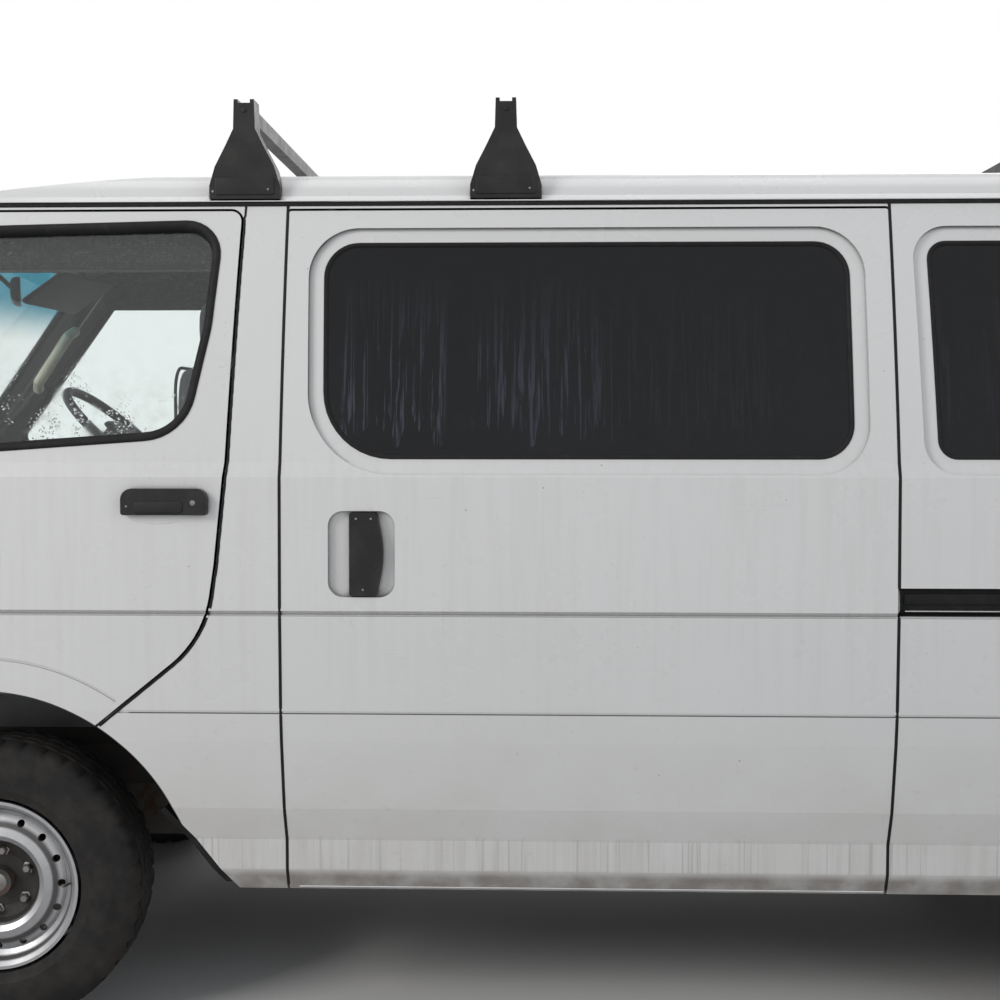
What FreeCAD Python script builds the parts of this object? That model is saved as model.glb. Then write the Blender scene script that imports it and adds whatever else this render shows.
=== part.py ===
import FreeCAD, Part
import math
import os
import re
import Sketcher
from FreeCAD import Placement, Rotation, Vector

# Panel van with a cab over the front wheels. The front looks along -X, the left side lies at -Y,
# the ground is at Z = 0 and the origin is under the middle of the van. Millimetres and degrees.

# Driving sizes: name, value, what it is.
SIZES = (
    ("rear_overhang", 1110, "rear axle to rear bumper"),
    ("body_width", 1690, "over the sides at the middle crease"),
    ("roof_rise", 95, "middle of the roof above the gutter"),
    ("wheelbase", 2700, "front axle to rear axle"),
    ("front_overhang", 1040, "front bumper to front axle"),
    ("wall", 45, "thickness of doors, sides and roof"),
    ("panel_gap", 5.5, "gap around doors and tailgate"),
    ("seat_gap", 0.3, "clearance between pieces that sit on each other"),
    ("nose_inset", 25, "front panel behind the bumper face"),
    ("tail_inset", 20, "rear panel ahead of the rear bumper face"),
    ("sill_z", 321, "lower edge of the body sides"),
    ("strip_rise", 50, "sill strip above the lower edge"),
    ("strip_height", 69, "height of the upright sill strip"),
    ("tuck_rise", 80, "tuck line above the sill strip"),
    ("fold_rise", 157, "fold above the tuck line"),
    ("crease_rise", 68, "lower crease above the fold"),
    ("crease_width", 6, "height of the line pressed along that crease"),
    ("crease_depth", 2, "depth of the pressed lines"),
    ("crease_setback", 300, "front end of the pressed line behind the front axle"),
    ("flare_radius", 530, "pressed line about the front axle"),
    ("groove_rise", 222, "middle of the side's groove above the lower crease"),
    ("groove_height", 11, "height of that groove"),
    ("groove_depth", 5, "depth of that groove"),
    ("shoulder_rise", 300, "shoulder above the groove"),
    ("waist_rise", 33, "waist above the shoulder"),
    ("window_sill", 9, "side windows above the waist"),
    ("window_head", 95, "side windows below the gutter"),
    ("gutter_rise", 585, "rain gutter above the waist"),
    ("sill_inset", 90, "lower edge inside the widest line"),
    ("strip_inset", 70, "sill strip inside the widest line"),
    ("tuck_inset", 38, "tuck line inside the widest line"),
    ("fold_inset", 10, "fold inside the widest line"),
    ("crease_inset", 3, "lower crease inside the widest line"),
    ("shoulder_inset", 9, "shoulder inside the widest line"),
    ("waist_inset", 21, "waist inside the widest line"),
    ("gutter_inset", 155, "gutter inside the widest line"),
    ("side_bulge", 8, "bulge of the window area"),
    ("gutter_lip", 18, "roof skin inside the gutter"),
    ("roof_edge_inset", 255, "start of the roof crown inside the widest line"),
    ("roof_crown", 20, "rise of the crown"),
    ("nose_drop", 180, "top of the upright front panel below the cowl's edge"),
    ("nose_lean", 30, "lean of the front panel over its height"),
    ("cowl_drop", 60, "lower edge of the cowl below the windscreen"),
    ("cowl_setback", 100, "cowl behind the front panel"),
    ("screen_base_drop", 120, "base of the windscreen below the waist"),
    ("screen_base_setback", 185, "base of the windscreen behind the front panel"),
    ("screen_top_z", 1885, "top of the windscreen slope"),
    ("screen_top_setback", 765, "top of the windscreen slope behind the front panel"),
    ("screen_radius", 4000, "bow of the windscreen across the van"),
    ("roof_front_setback", 1300, "middle of the front roof curve behind the front panel"),
    ("roof_front_drop", 28, "front roof curve below the middle of the roof"),
    ("roof_level_setback", 1850, "where the roof turns level behind the front panel"),
    ("tail_lean", 110, "lean of the tailgate from belt to roof"),
    ("tail_belt_drop", 150, "belt line of the tailgate below the waist"),
    ("nose_side_radius", 330, "plan radius of the front corners"),
    ("nose_bow", 45, "plan bow of the front panel"),
    ("tail_corner_radius", 110, "plan radius of the rear corners"),
    ("tail_bow", 18, "plan bow of the rear panel"),
    ("tyre_radius", 333, "outer radius of the tyres"),
    ("tyre_width", 195, "width of the tyres"),
    ("rim_radius", 195, "radius over the rim flange"),
    ("rim_width", 165, "width over the rim flanges"),
    ("wheel_inset", 130, "middle of a tyre inside the widest line"),
    ("kingpin_inset", 70, "steering axis inside the middle of the tyre"),
    ("front_arch_radius", 455, "front wheel arch about the axle"),
    ("rear_arch_radius", 388, "rear wheel arch about the axle"),
    ("front_house_inset", 295, "inner wall of the front wheel house inside the middle of the tyre"),
    ("rear_house_inset", 115, "inner wall of the rear wheel house inside the middle of the tyre"),
    ("house_wall", 8, "sheet of the wheel houses"),
    ("door_front_setback", 235, "front edge of the front door behind the front panel"),
    ("door_base_rise", 79, "front door's lower edge above the body's"),
    ("door_top_reach", 571, "front door's rear edge at the roof behind the front axle"),
    ("door_waist_reach", 552, "front door's rear edge at the waist behind the front axle"),
    ("door_low_reach", 529, "front door's rear edge below the handle behind the front axle"),
    ("door_low_drop", 227, "that place below the waist"),
    ("door_corner_reach", 505, "front door's rear lower corner behind the front axle"),
    ("door_corner_drop", 57, "that corner below the groove"),
    ("door_corner_radius", 250, "radius of that corner"),
    ("door_arch_setback", 135, "front door's lowest rear point behind the front axle"),
    ("door_arch_rise", 277, "that point above the axle"),
    ("door_toe_setback", 300, "front door's lower edge ends ahead of the front axle"),
    ("door_head", 13, "side doors below the gutter"),
    ("slider_setback", 667, "front edge of the sliding door behind the front axle"),
    ("slider_length", 1362, "sliding door"),
    ("window_front_margin", 90, "middle window behind the sliding door's front edge"),
    ("window_rear_margin", 98, "middle window ahead of the sliding door's rear edge"),
    ("quarter_front_margin", 79, "rear quarter window behind the sliding door"),
    ("quarter_rear_margin", 275, "rear quarter window ahead of the rear panel"),
    ("door_window_head", 43, "front door window below the gutter"),
    ("door_window_sill", 57, "rear lower edge of the front door window above the waist"),
    ("door_window_drop", 70, "drop of that edge towards the front"),
    ("door_window_rear_margin", 48, "front door window ahead of the door's rear edge, at the top"),
    ("door_window_low_margin", 98, "front door window ahead of the door's rear edge, low down"),
    ("door_window_bow_margin", 49, "the bow of that window's rear edge ahead of the door's rear edge"),
    ("door_window_bow_rise", 300, "that bow above the waist"),
    ("door_window_front_setback", 910, "front upper corner of the front door window behind the front panel"),
    ("door_window_toe_setback", 475, "front lower corner of that window behind the front panel"),
    ("window_radius", 75, "corner radius of the side windows"),
    ("window_front_radius", 150, "lower front corner radius of the middle side windows"),
    ("quarter_radius", 40, "front corner radius of the rear quarter windows"),
    ("window_lean", 10, "lower front corner of a side window behind its upper one"),
    ("recess_margin", 36, "stamped recess around a side window"),
    ("recess_depth", 12, "depth of that recess"),
    ("glass_depth", 15, "outer face of the side glass below the skin"),
    ("glass_thickness", 5, "thickness of the glass"),
    ("pillar_width", 95, "windscreen pillar seen from the front"),
    ("pillar_depth", 150, "windscreen pillar seen from the side, behind the slope"),
    ("screen_margin", 30, "panel between windscreen glass and its slope ends"),
    ("track_drop", 2, "door track slot below the groove"),
    ("track_height", 62, "height of the door track slot"),
    ("track_rear_margin", 415, "rear end of the door track slot ahead of the rear panel"),
    ("track_depth", 22, "depth of the door track slot"),
    ("flap_top_setback", 399, "front lower corner of the side behind the front axle, at the tuck line"),
    ("flap_low_setback", 573, "where that sloping edge meets its low line behind the front axle"),
    ("flap_low_drop", 21, "low line of the sloping edge below the body's lower edge"),
    ("guard_low_rise", 15, "lower end of the mud guards above the body's lower edge"),
    ("guard_thickness", 14, "mud guards behind the front wheels"),
    ("guard_width", 405, "mud guard across the van, from the widest line"),
    ("floor_rise", 100, "load floor above the tuck line"),
    ("floor_thickness", 45, "thickness of the floor"),
    ("cab_step_rise", 42, "platform under the front seats above the front wheel arch"),
    ("rail_inset", 480, "middle of a chassis rail inside the widest line"),
    ("rail_width", 70, "width of a chassis rail"),
    ("rail_height", 105, "height of a chassis rail"),
    ("sill_box_width", 80, "inner sill across the van"),
    ("sill_box_setback", 60, "inner sill behind the front wheel house"),
    ("floor_end_gap", 4, "load floor ahead of the rear panel"),
    ("striker_half_width", 200, "striker plate of the tailgate from the middle to its end"),
    ("engine_length", 720, "engine block"),
    ("engine_side_gap", 105, "engine block inside the middle of a chassis rail"),
    ("engine_low_z", 300, "underside of the engine block"),
    ("engine_top_gap", 50, "engine block below the seats' platform"),
    ("arm_half_width", 35, "suspension arm from its middle to its edge"),
    ("arm_thickness", 22, "suspension arm"),
    ("upright_reach", 108, "knuckle above and below the axle"),
    ("spindle_radius", 32, "wheel spindle"),
    ("disc_radius", 130, "brake discs"),
    ("flange_radius", 72, "wheel flanges"),
    ("drum_radius", 140, "brake drums"),
    ("axle_tube_radius", 40, "rear axle tube"),
    ("differential_radius", 125, "differential housing"),
    ("shaft_radius", 35, "propeller shaft"),
    ("spring_offset", 115, "middle of a leaf spring outside the middle of a rail"),
    ("spring_width", 60, "leaf spring across the van"),
    ("spring_thickness", 30, "stack of leaves"),
    ("spring_reach", 580, "leaf spring from the axle to its end"),
    ("spring_bend", 1500, "bend radius of the leaf springs"),
    ("tank_setback", 1615, "front end of the fuel tank ahead of the rear axle"),
    ("tank_length", 800, "fuel tank"),
    ("tank_offset", 65, "inner side of the fuel tank outside the middle of a rail"),
    ("tank_width", 200, "fuel tank across the van"),
    ("tank_low_z", 310, "underside of the fuel tank"),
    ("tank_corner", 40, "corner radius of the fuel tank"),
    ("exhaust_offset", 195, "exhaust outside the middle of the left rail"),
    ("exhaust_drop", 195, "middle of the exhaust below the load floor"),
    ("pipe_radius", 24, "exhaust pipe"),
    ("silencer_radius", 85, "silencer"),
    ("silencer_setback", 1265, "front end of the silencer ahead of the rear axle"),
    ("silencer_length", 620, "silencer"),
    ("spare_margin", 420, "middle of the spare wheel ahead of the rear panel"),
    ("spare_z", 360, "middle height of the spare wheel"),
    ("dash_setback", 300, "front of the dashboard behind the front panel"),
    ("dash_length", 460, "dashboard along the van"),
    ("dash_height", 215, "dashboard"),
    ("dash_drop", 5, "top of the dashboard below the windscreen's base"),
    ("dash_end_inset", 210, "end of the dashboard inside the widest line"),
    ("seat_half_width", 235, "front seat from its middle to its side"),
    ("seat_setback", 45, "front of the seat cushions behind the front axle"),
    ("seat_length", 460, "seat cushions along the van"),
    ("cushion_thickness", 150, "seat cushions"),
    ("backrest_thickness", 130, "backrests"),
    ("backrest_height", 560, "backrests above the cushions"),
    ("headrest_height", 150, "headrests"),
    ("wheel_setback", 215, "middle of the steering wheel behind the dashboard"),
    ("wheel_rise", 165, "middle of the steering wheel above the dashboard"),
    ("wheel_tilt", 42, "degrees of the steering wheel from level"),
    ("column_length", 190, "steering column above its shroud"),
    ("shroud_length", 190, "shroud between the column and the dashboard"),
    ("column_radius", 24, "steering column"),
    ("shroud_radius", 42, "steering column shroud"),
    ("bumper_rise", 54, "lower edge of the bumpers above the body's"),
    ("bumper_height", 235, "bumpers"),
    ("front_bumper_wrap", 240, "how far the front bumper reaches round its corners"),
    ("rear_bumper_wrap", 270, "how far the rear bumper reaches round its corners"),
    ("lamp_height", 170, "headlamps"),
    ("lamp_drop", 70, "headlamps below the top of the front panel"),
    ("lamp_width", 250, "headlamp across the van"),
    ("lamp_outer_inset", 125, "outer edge of a headlamp inside the widest line"),
    ("lamp_depth", 40, "depth of the lamps into the body"),
    ("lamp_proud", 4, "lamp lenses outside the skin"),
    ("indicator_inset", 45, "outer edge of an indicator inside the widest line"),
    ("grille_slots", 5, "slots in the grille"),
    ("grille_slot_height", 14, "height of a grille slot"),
    ("tail_lamp_height", 300, "tail lamps"),
    ("tail_lamp_drop", 20, "tail lamps below the tailgate's belt line"),
    ("tail_lamp_width", 97, "tail lamp across the van"),
    ("tail_lamp_inset", 30, "outer edge of a tail lamp inside the widest line"),
    ("tailgate_base_rise", 15, "tailgate above the bumper"),
    ("tailgate_head", 5, "tailgate below the gutter"),
    ("tailgate_base_inset", 145, "side of the tailgate inside the widest line, below the belt"),
    ("tailgate_top_inset", 235, "side of the tailgate inside the widest line, at the top"),
    ("rack_height", 234, "top of the rack feet above the gutter"),
    ("rack_bar_rise", 205, "middle of the rack bars above the gutter"),
    ("rack_bar_size", 32, "square rack bar"),
    ("rack_foot_width", 162, "rack foot along the gutter"),
    ("rack_neck_width", 50, "neck of a rack foot"),
    ("rack_head_width", 46, "clamp at the top of a rack foot"),
    ("rack_ear_width", 9, "ears on both sides of that clamp's notch"),
    ("rack_ear_height", 8, "those ears above the notch"),
    ("rack_foot_depth", 60, "rack foot across the van"),
    ("rack_front_setback", 570, "front rack bar behind the front axle"),
    ("rack_middle_setback", 1165, "middle rack bar behind the front axle"),
    ("rack_rear_setback", 165, "rear rack bar ahead of the rear axle"),
    ("mirror_stand_off", 155, "outer end of a door mirror outside the widest line"),
    ("mirror_setback", 350, "front of a mirror arm behind the front panel"),
    ("mirror_rise", 0, "underside of a mirror above the windscreen's base"),
    ("mirror_width", 140, "door mirror across the van"),
    ("mirror_height", 240, "door mirror"),
    ("mirror_depth", 75, "door mirror along the van"),
    ("mirror_corner", 22, "corner radius of a door mirror"),
    ("mirror_arm_width", 50, "door mirror arm along the van"),
    ("mirror_arm_height", 36, "door mirror arm"),
    ("handle_depth", 18, "front door handle off the skin"),
    ("handle_corner", 24, "upper corner radius of the front door handle"),
    ("handle_length", 191, "front door handle"),
    ("handle_drop", 87, "middle of the front door handle below the waist"),
    ("handle_height", 58, "height of the front door handle"),
    ("handle_margin", 39, "front door handle ahead of the door's rear edge"),
    ("grip_recess_margin", 110, "recess for the sliding door's grip behind the door's front edge"),
    ("grip_recess_width", 148, "that recess along the van"),
    ("grip_recess_rise", 36, "that recess above the groove"),
    ("grip_recess_height", 190, "that recess"),
    ("grip_recess_corner", 34, "corner radius of that recess"),
    ("grip_recess_depth", 15, "depth of that recess"),
    ("grip_margin", 48, "grip behind the recess's front edge"),
    ("grip_width", 60, "grip along the van, at its ends"),
    ("grip_bow", 19, "bow of the grip's rear edge"),
    ("grip_bow_radius", 240, "rounding of that bow"),
    ("grip_end_gap", 3, "grip inside its recess, above and below"),
    ("grip_proud", 6, "grip outside the skin"),
    ("steering_wheel_radius", 200, "steering wheel"),
    ("steering_rim_radius", 14, "thickness of the steering wheel's rim, as a radius"),
    ("steering_hub_radius", 45, "hub of the steering wheel"),
    ("steering_hub_height", 50, "hub of the steering wheel"),
    ("spoke_width", 34, "spoke of the steering wheel"),
    ("spoke_thickness", 14, "spoke of the steering wheel"),
    ("driver_y", 390, "middle of the driver's seat, on the right"),
    ("hub_radius", 33, "centre hole of a rim"),
    ("hole_count", 16, "small holes round a wheel"),
    ("hole_radius", 8.5, "radius of a small wheel hole"),
    ("hole_circle", 148, "radius of the ring of small holes"),
)
# Places worked out from the sizes: name and formula.
PLACES = (
    ("overall_length", "front_overhang + wheelbase + rear_overhang"),
    ("half_length", "overall_length / 2"),
    ("half_width", "body_width / 2"),
    ("nose_x", "nose_inset - overall_length / 2"),
    ("tail_x", "overall_length / 2 - tail_inset"),
    ("front_axle_x", "front_overhang - overall_length / 2"),
    ("rear_axle_x", "front_overhang + wheelbase - overall_length / 2"),
    ("track_width", "body_width - 2 * wheel_inset"),
    ("wheel_y", "track_width / 2"),
    ("strip_low_z", "sill_z + strip_rise"),
    ("strip_top_z", "strip_low_z + strip_height"),
    ("tuck_z", "strip_top_z + tuck_rise"),
    ("floor_z", "tuck_z + floor_rise"),
    ("floor_low_z", "floor_z - floor_thickness"),
    ("rail_low_z", "floor_z - floor_thickness - rail_height"),
    ("fold_z", "tuck_z + fold_rise"),
    ("crease_z", "fold_z + crease_rise"),
    ("groove_z", "crease_z + groove_rise"),
    ("shoulder_z", "groove_z + shoulder_rise"),
    ("waist_z", "shoulder_z + waist_rise"),
    ("gutter_z", "waist_z + gutter_rise"),
    ("roof_height", "gutter_z + roof_rise"),
    ("window_low_z", "waist_z + window_sill"),
    ("window_top_z", "gutter_z - window_head"),
    ("screen_base_z", "waist_z - screen_base_drop"),
    ("cowl_z", "screen_base_z - cowl_drop"),
    ("nose_top_z", "cowl_z - nose_drop"),
    ("roof_front_z", "roof_height - roof_front_drop"),
    ("tail_belt_z", "waist_z - tail_belt_drop"),
    ("kingpin_y", "track_width / 2 - kingpin_inset"),
    ("front_house_y", "track_width / 2 - front_house_inset"),
    ("rear_house_y", "track_width / 2 - rear_house_inset"),
    ("door_base_z", "sill_z + door_base_rise"),
    ("door_rear_top_x", "front_axle_x + door_top_reach"),
    ("door_rear_waist_x", "front_axle_x + door_waist_reach"),
    ("door_rear_low_x", "front_axle_x + door_low_reach"),
    ("door_rear_low_z", "waist_z - door_low_drop"),
    ("door_corner_x", "front_axle_x + door_corner_reach"),
    ("door_corner_z", "groove_z - door_corner_drop"),
    ("door_top_z", "gutter_z - door_head"),
    ("slider_front_x", "front_axle_x + slider_setback"),
    ("slider_rear_x", "slider_front_x + slider_length"),
    ("window_front_x", "slider_front_x + window_front_margin"),
    ("window_rear_x", "slider_rear_x - window_rear_margin"),
    ("quarter_front_x", "slider_rear_x + quarter_front_margin"),
    ("quarter_rear_x", "tail_x - quarter_rear_margin"),
    ("door_window_top_z", "gutter_z - door_window_head"),
    ("door_window_low_z", "waist_z + door_window_sill"),
    ("door_window_rear_x", "door_rear_top_x - door_window_rear_margin"),
    ("door_window_rear_low_x", "door_rear_waist_x - door_window_low_margin"),
    ("door_window_bow_x", "door_rear_waist_x - door_window_bow_margin"),
    ("door_window_bow_z", "waist_z + door_window_bow_rise"),
    ("door_window_front_x", "nose_x + door_window_front_setback"),
    ("door_window_front_low_x", "nose_x + door_window_toe_setback"),
    ("crease_front_x", "front_axle_x + crease_setback"),
    ("track_low_z", "groove_z - track_drop"),
    ("track_high_z", "track_low_z + track_height"),
    ("track_rear_x", "tail_x - track_rear_margin"),
    ("flap_top_x", "front_axle_x + flap_top_setback"),
    ("flap_low_x", "front_axle_x + flap_low_setback"),
    ("flap_low_z", "sill_z - flap_low_drop"),
    ("guard_low_z", "sill_z + guard_low_rise"),
    ("guard_inner_y", "body_width / 2 - guard_width"),
    ("cab_step_z", "tyre_radius + front_arch_radius + cab_step_rise"),
    ("rail_y", "body_width / 2 - rail_inset"),
    ("engine_half_width", "rail_y - engine_side_gap"),
    ("engine_high_z", "cab_step_z - engine_top_gap"),
    ("spring_y", "rail_y + spring_offset"),
    ("tank_front_x", "rear_axle_x - tank_setback"),
    ("tank_inner_y", "rail_y + tank_offset"),
    ("exhaust_y", "rail_y + exhaust_offset"),
    ("exhaust_z", "floor_z - exhaust_drop"),
    ("silencer_front_x", "rear_axle_x - silencer_setback"),
    ("spare_x", "tail_x - spare_margin"),
    ("dash_front_x", "nose_x + dash_setback"),
    ("dash_rear_x", "dash_front_x + dash_length"),
    ("dash_high_z", "screen_base_z - dash_drop"),
    ("dash_low_z", "dash_high_z - dash_height"),
    ("dash_half_width", "body_width / 2 - dash_end_inset"),
    ("seat_front_x", "front_axle_x + seat_setback"),
    ("seat_rear_x", "seat_front_x + seat_length"),
    ("wheel_centre_x", "dash_rear_x + wheel_setback"),
    ("wheel_centre_z", "dash_high_z + wheel_rise"),
    ("bumper_low_z", "sill_z + bumper_rise"),
    ("bumper_high_z", "bumper_low_z + bumper_height"),
    ("lamp_high_z", "nose_top_z - lamp_drop"),
    ("lamp_low_z", "lamp_high_z - lamp_height"),
    ("lamp_outer_y", "body_width / 2 - lamp_outer_inset"),
    ("lamp_inner_y", "lamp_outer_y - lamp_width"),
    ("indicator_outer_y", "body_width / 2 - indicator_inset"),
    ("tail_lamp_high_z", "tail_belt_z - tail_lamp_drop"),
    ("tail_lamp_low_z", "tail_lamp_high_z - tail_lamp_height"),
    ("tail_lamp_outer_y", "body_width / 2 - tail_lamp_inset"),
    ("tail_lamp_inner_y", "tail_lamp_outer_y - tail_lamp_width"),
    ("tailgate_base_z", "bumper_high_z + tailgate_base_rise"),
    ("tailgate_top_z", "gutter_z - tailgate_head"),
    ("tailgate_base_y", "body_width / 2 - tailgate_base_inset"),
    ("tailgate_top_y", "body_width / 2 - tailgate_top_inset"),
    ("rack_bar_z", "gutter_z + rack_bar_rise"),
    ("rack_front_x", "front_axle_x + rack_front_setback"),
    ("rack_middle_x", "front_axle_x + rack_middle_setback"),
    ("rack_rear_x", "rear_axle_x - rack_rear_setback"),
    ("mirror_reach", "body_width / 2 + mirror_stand_off"),
    ("mirror_x", "nose_x + mirror_setback"),
    ("mirror_low_z", "screen_base_z + mirror_rise"),
    ("handle_z", "waist_z - handle_drop"),
    ("handle_rear_x", "door_rear_waist_x - handle_margin"),
    ("grip_recess_front_x", "slider_front_x + grip_recess_margin"),
    ("grip_recess_rear_x", "grip_recess_front_x + grip_recess_width"),
    ("grip_recess_low_z", "groove_z + grip_recess_rise"),
    ("grip_recess_high_z", "grip_recess_low_z + grip_recess_height"),
    ("grip_front_x", "grip_recess_front_x + grip_margin"),
    ("grip_rear_x", "grip_front_x + grip_width"),
)
NAMES = {row[0]: "Sizes" for row in SIZES}
NAMES.update({row[0]: "Places" for row in PLACES})

DOC = FreeCAD.newDocument("panel_van")


def fill_sheet(title, rows):
    """One spreadsheet with a named cell for each row."""
    sheet = DOC.addObject("Spreadsheet::Sheet", title)
    for line, (name, content, *note) in enumerate(rows, start=1):
        sheet.set(f"A{line}", name)
        sheet.set(f"B{line}", str(content))
        sheet.setAlias(f"B{line}", name)
        if note:
            sheet.set(f"C{line}", note[0])
    DOC.recompute()
    return sheet


def formula(text):
    """Put the sheet's name before each size or place in a formula."""
    return re.sub(r"[a-z_]\w*", lambda word: f"{NAMES[word[0]]}.{word[0]}", str(text))


class Values:
    """Reads sizes and places as numbers from the two sheets."""

    def __getattr__(self, name):
        return float(DOC.getObject(NAMES[name]).get(name))


fill_sheet("Sizes", SIZES)
fill_sheet("Places", [(name, "=" + formula(text).replace("Places.", "")) for name, text in PLACES])
v = Values()


def bind(item, **formulas):
    """Bind properties of an object to formulas; x, y and z are its place."""
    for key, text in formulas.items():
        path = f"Placement.Base.{key}" if key in "xyz" else key
        item.setExpression(path, formula(text))
    return item


def box(name, x, y, z):
    """A block between two formulas along each axis."""
    block = DOC.addObject("Part::Box", name)
    (x0, x1), (y0, y1), (z0, z1) = x, y, z
    bind(block, Length=f"({x1}) - ({x0})", Width=f"({y1}) - ({y0})", Height=f"({z1}) - ({z0})")
    return bind(block, x=x0, y=y0, z=z0)


TURNS = {"x": Rotation(Vector(0, 1, 0), 90), "y": Rotation(Vector(1, 0, 0), -90), "z": Rotation()}


def cylinder(name, radius, length, x, y, z, along="z"):
    """A round bar from a start point along an axis."""
    bar = DOC.addObject("Part::Cylinder", name)
    bar.Placement = Placement(Vector(), TURNS[along])
    return bind(bar, Radius=radius, Height=length, x=x, y=y, z=z)


def fuse(name, *items):
    """Several pieces as one."""
    whole = DOC.addObject("Part::MultiFuse", name)
    whole.Shapes = list(items)
    return whole


def cut(name, base, *tools):
    """A piece with others taken away."""
    for number, tool in enumerate(tools):
        last = number == len(tools) - 1
        result = DOC.addObject("Part::Cut", name if last else f"{name}_cut_{number}")
        result.Base = base
        result.Tool = tool
        base = result
    return base


def compound(name, *items):
    """Solids that stay apart in one sub-part."""
    group = DOC.addObject("Part::Compound", name)
    group.Links = list(items)
    return group


def mirrored(name, item):
    """The same piece on the other side of the van."""
    twin = DOC.addObject("Part::Mirroring", name)
    twin.Source = item
    twin.Normal = Vector(0, 1, 0)
    return twin


def feature(name, shape, place=Placement()):
    """A piece with a shape of its own."""
    item = DOC.addObject("Part::Feature", name)
    item.Shape = shape
    item.Placement = place
    return item


SUBPARTS = []


def subpart(name, item):
    """Name a finished piece, which is written as a file of that name."""
    item.Label = name
    SUBPARTS.append(item)
    return item


# Outlines. A corner is (u, v, radius).

def rounded(corners, place):
    """A closed wire through corners, each rounded by an arc; place turns (u, v) into a point."""
    runs = []
    count = len(corners)
    for index, (u, w, radius) in enumerate(corners):
        here = Vector(u, w, 0)
        before = (Vector(*corners[index - 1][:2], 0) - here).normalize()
        after = (Vector(*corners[(index + 1) % count][:2], 0) - here).normalize()
        half_angle = before.getAngle(after) / 2
        reach = radius / math.tan(half_angle)
        inward = (before + after).normalize() if radius else Vector()
        middle = here + inward * (radius / math.sin(half_angle) - radius)
        runs.append((here + before * reach, middle, here + after * reach, radius))
    edges = []
    for index, (start, middle, end, radius) in enumerate(runs):
        if radius:
            edges.append(Part.Arc(place(start), place(middle), place(end)).toShape())
        following = runs[(index + 1) % count][0]
        edges.append(Part.LineSegment(place(end), place(following)).toShape())
    return Part.Wire(edges)


def side_prism(corners, y0, y1, grow=0):
    """An outline seen from the side, taken across the van from y0 to y1."""
    face = Part.Face(rounded(corners, lambda p: Vector(p.x, y0, p.y)))
    if grow:
        face = face.makeOffset2D(grow)
    return face.extrude(Vector(0, y1 - y0, 0))


def end_prism(corners, x0, x1, grow=0):
    """An outline seen from the front, taken along the van from x0 to x1."""
    face = Part.Face(rounded(corners, lambda p: Vector(x0, p.x, p.y)))
    if grow:
        face = face.makeOffset2D(grow)
    return face.extrude(Vector(x1 - x0, 0, 0))


def block(x0, x1, y0, y1, z0, z1):
    """A plain block between two corners."""
    return Part.makeBox(x1 - x0, y1 - y0, z1 - z0, Vector(x0, y0, z0))


# The body form. It is what four outlines have in common: the cross-section, the side view, the plan
# and the bow of the windscreen. Each can be drawn inset, so that walls and glass follow the skin.

CLEAR = 5
BELOW = 60
SECTION = (
    # height, inset
    ("sill_z", "sill_inset"),
    ("strip_low_z", "strip_inset"),
    ("strip_top_z", "strip_inset"),
    ("tuck_z", "tuck_inset"),
    ("fold_z", "fold_inset"),
    ("crease_z", "crease_inset"),
)


def cross_section(inset):
    """The outline seen from the front, taken along the whole van."""
    def half(margin):
        return v.half_width - margin - inset

    low = v.sill_z - (BELOW if inset else 0)
    side = [(half(v.sill_inset), low)] if inset else []
    side += [(half(getattr(v, margin)), getattr(v, height)) for height, margin in SECTION]
    rise = v.groove_height / 2
    side += [(half(0), v.groove_z - rise), (half(v.groove_depth), v.groove_z - rise / 2)]
    side += [(half(v.groove_depth), v.groove_z + rise / 2), (half(0), v.groove_z + rise)]
    side += [(half(v.shoulder_inset), v.shoulder_z), (half(v.waist_inset), v.waist_z)]
    gutter = (half(v.gutter_inset), v.gutter_z)
    waist = side[-1]
    bulge = ((waist[0] + gutter[0]) / 2 + v.side_bulge, (waist[1] + gutter[1]) / 2)
    lip = (half(v.gutter_inset + v.gutter_lip), v.gutter_z + v.gutter_lip - inset / 3)
    crown_z = v.roof_height - inset
    edge = (v.half_width - v.roof_edge_inset - inset / 2, crown_z - v.roof_crown)
    turn = ((lip[0] * 0.62 + edge[0] * 0.38), lip[1] * 0.3 + edge[1] * 0.7)

    def at(point, sign):
        return Vector(-v.half_length, sign * point[0], point[1])

    edges = []
    for sign in (-1, 1):
        for start, end in zip(side, side[1:]):
            edges.append(Part.LineSegment(at(start, sign), at(end, sign)))
        edges.append(Part.Arc(at(waist, sign), at(bulge, sign), at(gutter, sign)))
        edges.append(Part.LineSegment(at(gutter, sign), at(lip, sign)))
        edges.append(Part.Arc(at(lip, sign), at(turn, sign), at(edge, sign)))
    edges.append(Part.Arc(at(edge, -1), at((0, crown_z), 1), at(edge, 1)))
    edges.append(Part.LineSegment(at(side[0], -1), at(side[0], 1)))
    wire = Part.Wire(Part.__sortEdges__([edge.toShape() for edge in edges]))
    return Part.Face(wire).extrude(Vector(v.overall_length, 0, 0))


def screen_slope():
    """The windscreen's base point, and its direction upwards in the side view."""
    base = Vector(v.nose_x + v.screen_base_setback, 0, v.screen_base_z)
    top = Vector(v.nose_x + v.screen_top_setback, 0, v.screen_top_z)
    return base, (top - base).normalize()


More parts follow.
